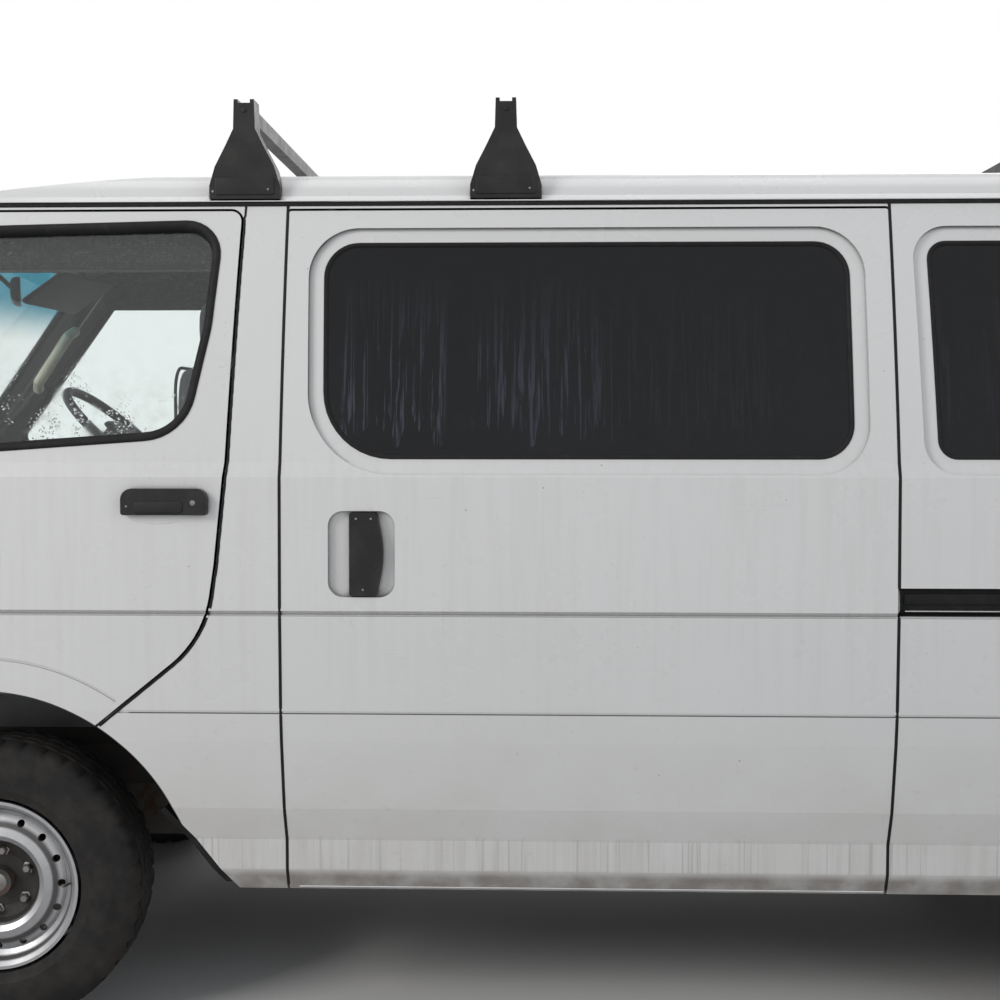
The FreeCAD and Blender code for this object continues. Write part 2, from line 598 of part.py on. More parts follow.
def side_view(inset):
    """The outline seen from the side, taken across the van."""
    low = v.sill_z - (BELOW if inset else 0) - CLEAR
    nose = v.nose_x + inset
    high = v.roof_height + CLEAR - inset
    tail = v.tail_x - inset

    def at(x, z):
        return Vector(x, -v.body_width, z)

    lean = v.nose_lean / (v.nose_top_z - v.sill_z)
    points = [
        at(nose + lean * (low - v.sill_z), low),
        at(nose + v.nose_lean, v.nose_top_z),
        at(nose + v.cowl_setback, v.cowl_z),
        at(nose + v.screen_base_setback, v.screen_base_z),
        at(nose + v.screen_top_setback, v.screen_top_z - inset),
    ]
    roof_middle = at(v.nose_x + v.roof_front_setback, v.roof_front_z - inset)
    roof_level = at(v.nose_x + v.roof_level_setback, high)
    rear = [roof_level, at(tail - v.tail_lean, high), at(tail, v.tail_belt_z), at(tail, low), points[0]]
    edges = [Part.LineSegment(a, b) for a, b in zip(points, points[1:])]
    edges.append(Part.Arc(points[-1], roof_middle, roof_level))
    edges += [Part.LineSegment(a, b) for a, b in zip(rear, rear[1:])]
    wire = Part.Wire([edge.toShape() for edge in edges])
    return Part.Face(wire).extrude(Vector(0, 2 * v.body_width, 0))


def plan_view(inset):
    """The outline seen from above, taken up through the van."""
    low = v.sill_z - 2 * BELOW
    half = v.half_width + CLEAR
    nose_r = v.nose_side_radius - inset
    tail_r = v.tail_corner_radius - inset
    nose = (v.nose_x + v.nose_bow + v.nose_side_radius, half - v.nose_side_radius)
    tail = (v.tail_x - v.tail_bow - v.tail_corner_radius, half - v.tail_corner_radius)
    slant = math.sqrt(0.5)

    def at(x, y):
        return Vector(x, y, low)

    def corner(middle, radius, along, across):
        """Three points round one corner: on its end face, on the slant and on its side."""
        x, y = middle
        return (
            at(x + along * radius, across * y),
            at(x + along * radius * slant, across * (y + radius * slant)),
            at(x, across * (y + radius)),
        )

    edges = [Part.Arc(*corner(nose, nose_r, -1, -1)), Part.Arc(*corner(tail, tail_r, 1, -1))]
    edges += [Part.Arc(*corner(nose, nose_r, -1, 1)), Part.Arc(*corner(tail, tail_r, 1, 1))]
    for side in (-1, 1):
        front = corner(nose, nose_r, -1, side)
        rear = corner(tail, tail_r, 1, side)
        edges.append(Part.LineSegment(front[2], rear[2]))
    for (x, y), radius, along, tip in (
        (nose, nose_r, -1, v.nose_x - CLEAR + inset), (tail, tail_r, 1, v.tail_x + CLEAR - inset),
    ):
        edges.append(Part.Arc(at(x + along * radius, -y), at(tip, 0), at(x + along * radius, y)))
    wire = Part.Wire(Part.__sortEdges__([edge.toShape() for edge in edges]))
    return Part.Face(wire).extrude(Vector(0, 0, v.roof_height))


def screen_bow(inset):
    """A large drum along the windscreen's slope, which bows the glass across the van."""
    base, up = screen_slope()
    inward = Vector(up.z, 0, -up.x)
    centre = base + inward * (v.screen_radius + CLEAR) - up * v.overall_length
    return Part.makeCylinder(v.screen_radius - inset, 3 * v.overall_length, centre, up)


FORMS = {}


def form(inset):
    """The whole body, with every face moved inwards by the inset."""
    if inset not in FORMS:
        whole = cross_section(inset).common(side_view(inset))
        whole = whole.common(plan_view(inset))
        FORMS[inset] = whole.common(screen_bow(inset))
    return FORMS[inset]


def one_shape(shape):
    """The solids of a shape, as one solid when there is only one."""
    solids = shape.removeSplitter().Solids
    return solids[0] if len(solids) == 1 else Part.makeCompound(solids)


# Body panels, cut from the wall of the body where the real panels meet.

WIDE = v.body_width
LONG = v.overall_length
skin = form(0).cut(form(v.wall))
for axle_x, radius in ((v.front_axle_x, v.front_arch_radius), (v.rear_axle_x, v.rear_arch_radius)):
    arch = Part.makeCylinder(radius, 2 * WIDE, Vector(axle_x, -WIDE, v.tyre_radius), Vector(0, 1, 0))
    skin = skin.cut(arch)
left_half = block(-LONG, LONG, -WIDE, 0, 0, LONG)


def mirror(shape):
    """The shape on the other side of the van."""
    return shape.mirror(Vector(), Vector(0, 1, 0))


def pillar_x(z, behind):
    """A line that runs along the windscreen slope, some way behind it, in the side view."""
    base, up = screen_slope()
    return base.x + behind + (z - base.z) * up.x / up.z


DOOR_FRONT_X = v.nose_x + v.door_front_setback
FRONT_DOOR = (
    (DOOR_FRONT_X, v.door_base_z, 30),
    (DOOR_FRONT_X, v.cowl_z - 15, 120),
    (pillar_x(v.screen_base_z + 30, v.pillar_depth), v.screen_base_z + 30, 60),
    (pillar_x(v.door_top_z, v.pillar_depth), v.door_top_z, 60),
    (v.door_rear_top_x, v.door_top_z, 30),
    (v.door_rear_waist_x, v.waist_z, 0),
    (v.door_rear_low_x, v.door_rear_low_z, 0),
    (v.door_corner_x, v.door_corner_z, v.door_corner_radius),
    (v.front_axle_x + v.door_arch_setback, v.tyre_radius + v.door_arch_rise, 0),
    (v.front_axle_x - v.door_toe_setback, v.door_base_z, 0),
)
FRONT_WINDOW = (
    (v.door_window_front_low_x, v.door_window_low_z - v.door_window_drop, 40),
    (v.door_window_front_x, v.door_window_top_z - 15, 60),
    (v.door_window_rear_x, v.door_window_top_z, v.window_radius),
    (v.door_window_bow_x, v.door_window_bow_z, 2 * v.window_front_radius),
    (v.door_window_rear_low_x, v.door_window_low_z, v.window_front_radius - 35),
)
SLIDING_DOOR = (
    (v.slider_front_x, v.sill_z - BELOW, 0),
    (v.slider_front_x, v.door_top_z, 12),
    (v.slider_rear_x, v.door_top_z, 12),
    (v.slider_rear_x, v.sill_z - BELOW, 0),
)


def side_window(front_x, rear_x, low_radius, top_radius):
    """The outline of a side window between two places along the van."""
    return (
        (front_x + v.window_lean, v.window_low_z, low_radius),
        (front_x, v.window_top_z, top_radius),
        (rear_x, v.window_top_z, v.window_radius),
        (rear_x, v.window_low_z, v.window_radius),
    )


MIDDLE_WINDOW = side_window(v.window_front_x, v.window_rear_x, v.window_front_radius, v.window_radius)
QUARTER_WINDOW = side_window(v.quarter_front_x, v.quarter_rear_x, v.quarter_radius, v.quarter_radius)
TAILGATE = (
    (-v.tailgate_base_y, v.tailgate_base_z, 40),
    (-v.tailgate_base_y, v.tail_belt_z, 0),
    (-v.tailgate_top_y, v.tailgate_top_z, 60),
    (v.tailgate_top_y, v.tailgate_top_z, 60),
    (v.tailgate_base_y, v.tail_belt_z, 0),
    (v.tailgate_base_y, v.tailgate_base_z, 40),
)
TAIL_WINDOW = (
    (-v.tailgate_base_y + 70, v.tail_belt_z + 40, 80),
    (-v.tailgate_top_y + 60, v.tailgate_top_z - 70, 80),
    (v.tailgate_top_y - 60, v.tailgate_top_z - 70, 80),
    (v.tailgate_base_y - 70, v.tail_belt_z + 40, 80),
)
SCREEN = (
    (-v.half_width + v.pillar_width + 15, v.screen_base_z + v.screen_margin, 70),
    (-v.half_width + v.gutter_inset + v.pillar_width - 10, v.screen_top_z - v.screen_margin, 70),
    (v.half_width - v.gutter_inset - v.pillar_width + 10, v.screen_top_z - v.screen_margin, 70),
    (v.half_width - v.pillar_width - 15, v.screen_base_z + v.screen_margin, 70),
)
NOSE_TOP_Z = v.screen_base_z - 15
NOSE = (
    (-LONG, 0, 0),
    (v.front_axle_x - v.front_arch_radius / 2, 0, 0),
    (v.front_axle_x - v.front_arch_radius / 2, v.door_base_z + v.wall, 0),
    (DOOR_FRONT_X + v.wall, v.door_base_z + v.wall, 0),
    (DOOR_FRONT_X + v.wall, NOSE_TOP_Z, 0),
    (-LONG, NOSE_TOP_Z, 0),
)
SURROUND = (
    (-LONG, NOSE_TOP_Z + v.seat_gap, 0),
    (DOOR_FRONT_X + 2 * v.pillar_depth, NOSE_TOP_Z + v.seat_gap, 0),
    (pillar_x(v.gutter_z, v.pillar_depth + 30), v.gutter_z - v.seat_gap, 0),
    (-LONG, v.gutter_z - v.seat_gap, 0),
)
FLAP_TOP = Vector(v.flap_top_x, 0, v.tuck_z)
FLAP_LOW = Vector(v.flap_low_x, 0, v.flap_low_z)
FLAP_CUT = (
    (FLAP_TOP.x, FLAP_TOP.z, 0),
    (FLAP_LOW.x, FLAP_LOW.z, 0),
    (v.front_axle_x, FLAP_LOW.z, 0),
    (v.front_axle_x, FLAP_TOP.z, 0),
)


def glazed(panel, outline, recess=True):
    """A side panel with a window cut in it, and the stamped recess round the window."""
    panel = panel.cut(side_prism(outline, -WIDE, 0))
    if recess:
        band = side_prism(outline, -WIDE, 0, v.recess_margin).common(form(0).cut(form(v.recess_depth)))
        panel = panel.cut(band)
    return panel


def side_glass(outline):
    """A pane that fills a side window."""
    sheet = form(v.glass_depth).cut(form(v.glass_depth + v.glass_thickness))
    return one_shape(sheet.common(side_prism(outline, -WIDE, 0, -v.seat_gap)))


def pressed_line(zone):
    """A shallow groove in the skin, inside a zone."""
    return form(0).cut(form(v.crease_depth)).common(zone)


left_skin = skin.common(left_half)
flare_middle = Vector(v.front_axle_x, -WIDE, v.tyre_radius)
flare_ring = Part.makeCylinder(v.flare_radius + v.crease_width / 2, WIDE, flare_middle, Vector(0, 1, 0))
flare_ring = flare_ring.cut(
    Part.makeCylinder(v.flare_radius - v.crease_width / 2, WIDE, flare_middle, Vector(0, 1, 0)))
flare_ring = flare_ring.common(block(-LONG, v.crease_front_x, -WIDE, 0, v.crease_z, LONG))
crease_line = block(v.crease_front_x, LONG, -WIDE, 0, v.crease_z - v.crease_width / 2,
                    v.crease_z + v.crease_width / 2)
left_skin = left_skin.cut(pressed_line(flare_ring)).cut(pressed_line(crease_line))
door_zone = side_prism(FRONT_DOOR, -WIDE, 0)
slider_zone = side_prism(SLIDING_DOOR, -WIDE, 0)
tail_zone_wide = end_prism(TAILGATE, v.tail_x - v.tail_lean - 3 * v.wall, LONG, v.panel_gap)
roof_zone = block(-LONG, LONG, -WIDE, WIDE, v.gutter_z, LONG)
nose_zone = side_prism(NOSE, -WIDE, WIDE)
surround_zone = side_prism(SURROUND, -WIDE, WIDE)
valance_zone = block(v.tail_x - 3 * v.wall, LONG, -v.tailgate_base_y, v.tailgate_base_y, 0, v.tailgate_base_z)
track_slot = form(0).cut(form(v.track_depth)).common(
    block(0, v.track_rear_x, -WIDE, 0, v.track_low_z, v.track_high_z))

front_door = left_skin.common(side_prism(FRONT_DOOR, -WIDE, 0, -v.panel_gap))
front_door = one_shape(glazed(front_door.cut(roof_zone), FRONT_WINDOW, recess=False))
sliding_door = glazed(left_skin.common(side_prism(SLIDING_DOOR, -WIDE, 0, -v.panel_gap)), MIDDLE_WINDOW)
GRIP_RECESS = (
    (v.grip_recess_front_x, v.grip_recess_low_z, v.grip_recess_corner),
    (v.grip_recess_front_x, v.grip_recess_high_z, v.grip_recess_corner),
    (v.grip_recess_rear_x, v.grip_recess_high_z, v.grip_recess_corner),
    (v.grip_recess_rear_x, v.grip_recess_low_z, v.grip_recess_corner),
)
sliding_door = one_shape(sliding_door.cut(
    side_prism(GRIP_RECESS, -WIDE, 0).common(form(0).cut(form(v.grip_recess_depth)))))

left_side = left_skin.cut(roof_zone).cut(nose_zone).cut(surround_zone).cut(tail_zone_wide).cut(valance_zone)
left_side = left_side.cut(side_prism(FLAP_CUT, -WIDE, 0))
forwards = Vector(FLAP_LOW.z - FLAP_TOP.z, 0, FLAP_TOP.x - FLAP_LOW.x).normalize()
GUARD = [(corner.x, corner.z, 0) for corner in (
    FLAP_TOP + forwards * v.seat_gap,
    FLAP_LOW + forwards * v.seat_gap,
    FLAP_LOW + forwards * (v.seat_gap + v.guard_thickness),
    FLAP_TOP + forwards * (v.seat_gap + v.guard_thickness),
)]
mud_guard = side_prism(GUARD, -WIDE, -v.guard_inner_y).common(form(v.crease_depth))
mud_guard = mud_guard.common(block(-LONG, LONG, -WIDE, 0, v.guard_low_z, v.tuck_z))
plain_side = glazed(left_side.cut(door_zone), QUARTER_WINDOW)
right_side = mirror(glazed(plain_side, MIDDLE_WINDOW))
left_side = plain_side.cut(slider_zone).cut(track_slot)

screen_hole = end_prism(SCREEN, -LONG, v.front_axle_x)
surround = skin.common(surround_zone).cut(screen_hole).cut(door_zone).cut(mirror(door_zone))
nose = skin.common(nose_zone).cut(door_zone).cut(mirror(door_zone))
roof = skin.common(block(-LONG, LONG, -WIDE, WIDE, v.gutter_z + v.seat_gap, LONG)).cut(tail_zone_wide)
tailgate = skin.common(end_prism(TAILGATE, v.tail_x - v.tail_lean - 2 * v.wall, LONG, 0))
tailgate = tailgate.cut(end_prism(TAIL_WINDOW, v.rear_axle_x, LONG))
valance = skin.common(block(v.tail_x - 2 * v.wall, LONG, -v.tailgate_base_y + v.seat_gap,
                            v.tailgate_base_y - v.seat_gap, 0, v.tailgate_base_z - v.panel_gap))
screen = form(v.recess_depth).cut(form(v.recess_depth + v.glass_thickness))
screen = screen.common(end_prism(SCREEN, -LONG, v.front_axle_x, -v.seat_gap))
tail_glass = form(v.glass_depth).cut(form(v.glass_depth + v.glass_thickness))
tail_glass = tail_glass.common(end_prism(TAIL_WINDOW, v.rear_axle_x, LONG, -v.seat_gap))



# Lamps and grille, set into the front and rear panels.

def front_patch(y0, y1, z0, z1, radius):
    """A rounded rectangle on the front or rear, between two places across the van."""
    return ((y0, z0, radius), (y0, z1, radius), (y1, z1, radius), (y1, z0, radius))


def inlay(corners, x0, x1, proud):
    """A piece that follows the skin inside an outline seen from the front."""
    shell = form(-proud).cut(form(v.lamp_depth))
    return one_shape(shell.common(end_prism(corners, x0, x1, -v.seat_gap)))


lamp_patch = front_patch(-v.lamp_outer_y, -v.lamp_inner_y, v.lamp_low_z, v.lamp_high_z, 18)
indicator_patch = front_patch(-v.indicator_outer_y, -v.lamp_outer_y - v.panel_gap,
                              v.lamp_low_z, v.lamp_high_z, 10)
grille_patch = front_patch(v.panel_gap - v.lamp_inner_y, v.lamp_inner_y - v.panel_gap,
                           v.lamp_low_z, v.lamp_high_z, 10)
tail_patch = front_patch(-v.tail_lamp_outer_y, -v.tail_lamp_inner_y,
                         v.tail_lamp_low_z, v.tail_lamp_high_z, 18)
for patch in (lamp_patch, indicator_patch):
    hole = end_prism(patch, -LONG, DOOR_FRONT_X - v.wall)
    nose = nose.cut(hole).cut(mirror(hole))
nose = nose.cut(end_prism(grille_patch, -LONG, DOOR_FRONT_X - v.wall))
lamp_hole = end_prism(tail_patch, v.tail_x - 3 * v.wall, LONG)
left_side = left_side.cut(lamp_hole)
right_side = right_side.cut(mirror(lamp_hole))

headlamp = inlay(lamp_patch, -LONG, DOOR_FRONT_X - v.wall, v.lamp_proud)
indicator = inlay(indicator_patch, -LONG, DOOR_FRONT_X - v.wall, v.lamp_proud)
tail_lamp = inlay(tail_patch, v.tail_x - 3 * v.wall, LONG, v.lamp_proud)
grille = inlay(grille_patch, -LONG, DOOR_FRONT_X - v.wall, v.lamp_proud / 2)
slot_pitch = (v.lamp_high_z - v.lamp_low_z) / v.grille_slots
for number in range(int(v.grille_slots)):
    slot_z = v.lamp_low_z + (number + 0.5) * slot_pitch
    for side in (-1, 1):
        near, far = sorted((side * v.grille_slot_height, side * (v.lamp_inner_y - 2 * v.grille_slot_height)))
        grille = grille.cut(block(-LONG, 0, near, far, slot_z - v.grille_slot_height / 2,
                                  slot_z + v.grille_slot_height / 2))

bumper_height = block(-v.half_length, v.half_length, -v.half_width, v.half_width,
                      v.bumper_low_z, v.bumper_high_z)
bumper_skin = bumper_height.cut(form(-v.seat_gap))
front_bumper = bumper_skin.common(plan_view(-v.nose_inset))
front_bumper = front_bumper.common(block(-LONG, v.front_bumper_wrap - v.half_length, -WIDE, WIDE, 0, LONG))
rear_bumper = bumper_skin.common(plan_view(-v.tail_inset))
rear_bumper = rear_bumper.common(block(v.half_length - v.rear_bumper_wrap, LONG, -WIDE, WIDE, 0, LONG))

subpart("left_side", feature("left_side_panel", one_shape(left_side)))
subpart("right_side", feature("right_side_panel", one_shape(right_side)))
subpart("nose_panel", feature("nose_skin", one_shape(nose)))
subpart("windscreen_surround", feature("screen_surround", one_shape(surround)))
subpart("roof_panel", feature("roof_skin", one_shape(roof)))
subpart("rear_valance", feature("valance", one_shape(valance)))
subpart("sliding_door", feature("slider_panel", sliding_door))
subpart("sliding_door_glass", feature("slider_pane", side_glass(MIDDLE_WINDOW)))
quarter_pane = side_glass(QUARTER_WINDOW)
body_panes = [quarter_pane, mirror(quarter_pane), mirror(side_glass(MIDDLE_WINDOW))]
subpart("body_side_glass", feature("body_panes", Part.makeCompound(body_panes)))
subpart("mud_guards", feature("guard_pair", Part.makeCompound([mud_guard, mirror(mud_guard)])))
subpart("windscreen", feature("screen_pane", one_shape(screen)))
subpart("tailgate", feature("tailgate_panel", one_shape(tailgate)))
subpart("tailgate_glass", feature("tail_pane", one_shape(tail_glass)))
subpart("front_left_door", feature("left_door_panel", front_door))
subpart("front_right_door", feature("right_door_panel", mirror(front_door)))
subpart("front_left_door_glass", feature("left_door_pane", side_glass(FRONT_WINDOW)))
subpart("front_right_door_glass", feature("right_door_pane", mirror(side_glass(FRONT_WINDOW))))
subpart("front_bumper", feature("front_bumper_bar", one_shape(front_bumper)))
subpart("rear_bumper", feature("rear_bumper_bar", one_shape(rear_bumper)))
subpart("grille", feature("grille_slats", one_shape(grille)))
subpart("headlamps", feature("headlamp_pair", Part.makeCompound([headlamp, mirror(headlamp)])))
subpart("indicators", feature("indicator_pair", Part.makeCompound([indicator, mirror(indicator)])))
subpart("tail_lamps", feature("tail_lamp_pair", Part.makeCompound([tail_lamp, mirror(tail_lamp)])))


# Floor, wheel houses and chassis.

sill_outer = "body_width / 2 - strip_inset - wall - seat_gap"
floor_half = "body_width / 2 - tuck_inset - wall - seat_gap"
tail_end = "tail_x - wall - tail_bow - floor_end_gap"
arch_rear_x = "front_axle_x + front_arch_radius + house_wall"
arch_front_x = "front_axle_x - front_arch_radius - house_wall"
nose_floor_x = "nose_x + nose_side_radius"


def both(low, high):
    """A span across the van and the same span on the other side."""
    return (f"-({high})", f"-({low})"), (low, high)


plates = [
    box("load_floor", (arch_rear_x, tail_end), (f"-({floor_half})", floor_half), ("floor_low_z", "floor_z")),
    box("striker", (f"{tail_end} - wall", "tail_x - wall - seat_gap"),
        ("-striker_half_width", "striker_half_width"), ("floor_z", "floor_z + wall")),
    box("foot_floor", (nose_floor_x, arch_front_x), (f"-({floor_half}) + wall", f"{floor_half} - wall"),
        ("floor_low_z", "floor_z")),
    box("seat_base", (arch_front_x, arch_rear_x), (f"-({floor_half})", floor_half),
        ("floor_low_z", "cab_step_z")),
]
for number, span in enumerate(both(f"{sill_outer} - sill_box_width", sill_outer)):
    sill_span = (f"{arch_rear_x} + sill_box_setback", "rear_axle_x - rear_arch_radius")
    step_span = ("nose_x + door_front_setback + wall", "front_axle_x - front_arch_radius")
    plates.append(box(f"sill_{number}", sill_span, span, ("strip_low_z", "floor_low_z")))
    plates.append(box(f"step_{number}", step_span, span, ("strip_low_z", "floor_low_z")))
for number, span in enumerate(both("rear_house_y - house_wall", floor_half)):
    plates.append(box(f"rear_house_{number}", ("rear_axle_x - rear_arch_radius - house_wall",
                      "rear_axle_x + rear_arch_radius + house_wall"), span,
                      ("floor_low_z", "tyre_radius + rear_arch_radius + house_wall")))
bay_span = ("front_axle_x - front_arch_radius + wall", "front_axle_x + front_arch_radius - wall")
hollows = [box("engine_bay", bay_span, ("-rail_y", "rail_y"), ("0", "cab_step_z - house_wall * 3"))]
for number, span in enumerate(both("front_house_y", "body_width")):
    hollows.append(cylinder(f"front_arch_{number}", "front_arch_radius", f"{span[1]} - ({span[0]})",
                            "front_axle_x", span[0], "tyre_radius", "y"))
for number, span in enumerate(both("rear_house_y", "body_width")):
    hollows.append(cylinder(f"rear_arch_{number}", "rear_arch_radius", f"{span[1]} - ({span[0]})",
                            "rear_axle_x", span[0], "tyre_radius", "y"))
subpart("floor_pan", cut("floor", fuse("floor_plates", *plates), fuse("floor_hollows", *hollows)))

spare_top = "spare_z + tyre_width / 2 + seat_gap"
frame_pieces = []
for number, span in enumerate(both("rail_y - rail_width / 2", "rail_y + rail_width / 2")):
    frame_pieces.append(box(f"rail_{number}", (nose_floor_x, tail_end), span, ("rail_low_z", "floor_low_z")))
CROSS_MEMBERS = (
    # middle along the van, underside
    ("nose_x + nose_side_radius + rail_width", "rail_low_z"),
    ("engine_length / 2 + front_axle_x + front_arch_radius", "floor_low_z - rail_height / 2"),
    ("silencer_front_x + silencer_length", "floor_low_z - rail_height / 2"),
    ("spare_x", spare_top),
)
for number, (middle, low) in enumerate(CROSS_MEMBERS):
    member_span = (f"{middle} - rail_width / 2", f"{middle} + rail_width / 2")
    frame_pieces.append(box(f"cross_member_{number}", member_span, ("-rail_y", "rail_y"),
                            (low, "floor_low_z")))
subpart("chassis_frame", fuse("frame_rails", *frame_pieces))

engine_span = ("front_axle_x - engine_length / 2 + wall", "front_axle_x + engine_length / 2")
subpart("engine_block", box("engine", engine_span, ("-engine_half_width", "engine_half_width"),
                            ("engine_low_z", "engine_high_z")))

low_ball = "tyre_radius - upright_reach - seat_gap"
high_ball = "tyre_radius + upright_reach + seat_gap"
rail_outer = "rail_y + rail_width / 2"
arm_span = ("front_axle_x - arm_half_width", "front_axle_x + arm_half_width")
links = [box("axle_beam", arm_span, (f"-({rail_outer})", rail_outer),
             (f"{low_ball} - arm_thickness", "engine_low_z - seat_gap"))]
for number, span in enumerate(both("rail_y - rail_width / 2", "kingpin_y + arm_half_width / 2")):
    links.append(box(f"lower_arm_{number}", arm_span, span, (f"{low_ball} - arm_thickness", low_ball)))
    links.append(box(f"upper_arm_{number}", arm_span, span, (high_ball, f"{high_ball} + arm_thickness")))
for number, span in enumerate(both("rail_y - rail_width / 2", rail_outer)):
    links.append(box(f"tower_{number}", arm_span, span, (f"{low_ball} - arm_thickness", "rail_low_z")))
subpart("front_suspension", fuse("front_links", *links))

def wheel_flange(name, axle, side):
    """The flange that a wheel is bolted to, just behind the middle of its disc."""
    length = "rim_width / 2 - 60 - seat_gap"
    start = "wheel_y" if side > 0 else f"-(wheel_y + {length})"
    return cylinder(f"{name}_flange", "flange_radius", length, axle, start, "tyre_radius", "y")


axle_pieces = [
    wheel_flange("rear_left", "rear_axle_x", -1),
    wheel_flange("rear_right", "rear_axle_x", 1),
    cylinder("axle_tube", "axle_tube_radius", "2 * wheel_y", "rear_axle_x", "-wheel_y", "tyre_radius", "y"),
    cylinder("axle_spindles", "spindle_radius", "2 * wheel_y + rim_width * 0.8", "rear_axle_x",
             "-wheel_y - rim_width * 0.4", "tyre_radius", "y"),
]
differential = DOC.addObject("Part::Sphere", "differential")
axle_pieces.append(bind(differential, Radius="differential_radius", x="rear_axle_x", z="tyre_radius"))
for number, span in enumerate(both("wheel_y - rim_width * 0.4", "wheel_y + rim_width * 0.1")):
    axle_pieces.append(cylinder(f"drum_{number}", "drum_radius", "rim_width / 2", "rear_axle_x", span[0],
                                "tyre_radius", "y"))
subpart("rear_axle", fuse("rear_axle_parts", *axle_pieces))

spring_low = "tyre_radius + axle_tube_radius + seat_gap"
springs = []
for number, span in enumerate(both("spring_y - spring_width / 2", "spring_y + spring_width / 2")):
    centre_z = f"{spring_low} + spring_bend"
    round_out = cylinder(f"spring_out_{number}", "spring_bend", "spring_width",
                         "rear_axle_x", span[0], centre_z, "y")
    round_in = cylinder(f"spring_in_{number}", "spring_bend - spring_thickness", "spring_width",
                        "rear_axle_x", span[0], centre_z, "y")
    reach = box(f"spring_span_{number}", ("rear_axle_x - spring_reach", "rear_axle_x + spring_reach"), span,
                ("0", "floor_low_z - seat_gap"))
    leaves = cut(f"leaves_{number}", round_out, round_in)
    bent = DOC.addObject("Part::Common", f"spring_{number}")
    bent.Base = leaves
    bent.Tool = reach
    hangers = []
    for place, middle in (("front", "rear_axle_x - spring_reach"), ("rear", "rear_axle_x + spring_reach")):
        hanger_span = (f"{middle} - spring_thickness", f"{middle} + spring_thickness")
        hangers.append(box(f"hanger_{place}_{number}", hanger_span, span,
                           (f"{spring_low} + spring_width * 1.7", "floor_low_z - seat_gap")))
    springs.append(fuse(f"spring_with_hangers_{number}", bent, *hangers))
subpart("leaf_springs", compound("spring_pair", *springs))

shaft_start = "front_axle_x + engine_length / 2"
shaft_end = "rear_axle_x - differential_radius - seat_gap"
subpart("propshaft", cylinder("shaft", "shaft_radius", f"{shaft_end} - ({shaft_start})", shaft_start,
                              "0", "tyre_radius", "x"))

pipe_start = f"{arch_rear_x} + sill_box_setback"
pipe = [
    cylinder("pipe", "pipe_radius", f"tail_x - 2 * wall - ({pipe_start})", pipe_start,
             "-exhaust_y", "exhaust_z", "x"),
    cylinder("silencer", "silencer_radius", "silencer_length", "silencer_front_x",
             "-exhaust_y", "exhaust_z", "x"),
]
hanger_places = ("silencer_front_x + pipe_radius",
                 "silencer_front_x + silencer_length - pipe_radius", "tail_x - 4 * wall")
for number, place in enumerate(hanger_places):
    pipe.append(box(f"pipe_hanger_{number}", (place, f"{place} + pipe_radius"),
                    ("-exhaust_y - pipe_radius / 2", "-exhaust_y + pipe_radius / 2"),
                    ("exhaust_z", "floor_low_z - seat_gap")))
subpart("exhaust", fuse("exhaust_line", *pipe))


# Bodies drawn as sketches. A corner is a pair of formulas.

def sketch(body, name, role, corners):
    """A closed outline on one of the body's own planes, each corner bound to its formulas."""
    drawing = body.newObject("Sketcher::SketchObject", name)
    plane = next(item for item in body.Origin.OriginFeatures if item.Role == role)
    drawing.AttachmentSupport = [(plane, "")]
    drawing.MapMode = "FlatFace"
    count = len(corners)
    angles = [math.tau * index / count for index in range(count)]
    guess = [Vector(math.cos(angle), math.sin(angle), 0) * 100 for angle in angles]
    for index in range(count):
        drawing.addGeometry(Part.LineSegment(guess[index], guess[(index + 1) % count]), False)
    for index, (across, up) in enumerate(corners):
        joint = Sketcher.Constraint("Coincident", index, 2, (index + 1) % count, 1)
        drawing.addConstraint(joint)
        for kind, text, start in (("DistanceX", across, guess[index].x), ("DistanceY", up, guess[index].y)):
            row = drawing.addConstraint(Sketcher.Constraint(kind, -1, 1, index, 1, start))
            drawing.setExpression(f"Constraints[{row}]", formula(text))
    return drawing


def pad(name, role, corners, length, **place):
    """A body made by padding one outline."""
    body = DOC.addObject("PartDesign::Body", name)
    solid = body.newObject("PartDesign::Pad", f"{name}_pad")
    solid.Profile = sketch(body, f"{name}_outline", role, corners)
    bind(solid, Length=length)
    return bind(body, **place)


def revolve(name, corners):
    """A body turned about its own Z axis from an outline of radius and height."""
    body = DOC.addObject("PartDesign::Body", name)
    outline = sketch(body, f"{name}_outline", "XZ_Plane", corners)
    solid = body.newObject("PartDesign::Revolution", f"{name}_turn")
    solid.Profile = outline
    solid.ReferenceAxis = (outline, ["V_Axis"])
    solid.Angle = 360
    return body


def ring_of_holes(body, name, radius, circle, count):
    """Holes through a turned body, in a ring about its axis."""
    drawing = body.newObject("Sketcher::SketchObject", f"{name}_circle")
    plane = next(item for item in body.Origin.OriginFeatures if item.Role == "XY_Plane")
    drawing.AttachmentSupport = [(plane, "")]
    drawing.MapMode = "FlatFace"
    drawing.addGeometry(Part.Circle(Vector(100, 0, 0), Vector(0, 0, 1), 5), False)
    across = drawing.addConstraint(Sketcher.Constraint("DistanceX", -1, 1, 0, 3, 100))
    drawing.addConstraint(Sketcher.Constraint("DistanceY", -1, 1, 0, 3, 0))
    size = drawing.addConstraint(Sketcher.Constraint("Radius", 0, 5))
    drawing.setExpression(f"Constraints[{across}]", formula(circle))
    drawing.setExpression(f"Constraints[{size}]", formula(radius))
    hole = body.newObject("PartDesign::Pocket", f"{name}_hole")
    hole.Profile = drawing
    hole.Type = 1
    hole.Midplane = True
    ring = body.newObject("PartDesign::PolarPattern", f"{name}_ring")
    ring.Originals = [hole]
    ring.Axis = (drawing, ["N_Axis"])
    bind(ring, Occurrences=count)
    body.Tip = ring
    return body


# Wheels. Heights in the tables run outwards along the axle from the middle of the tyre.

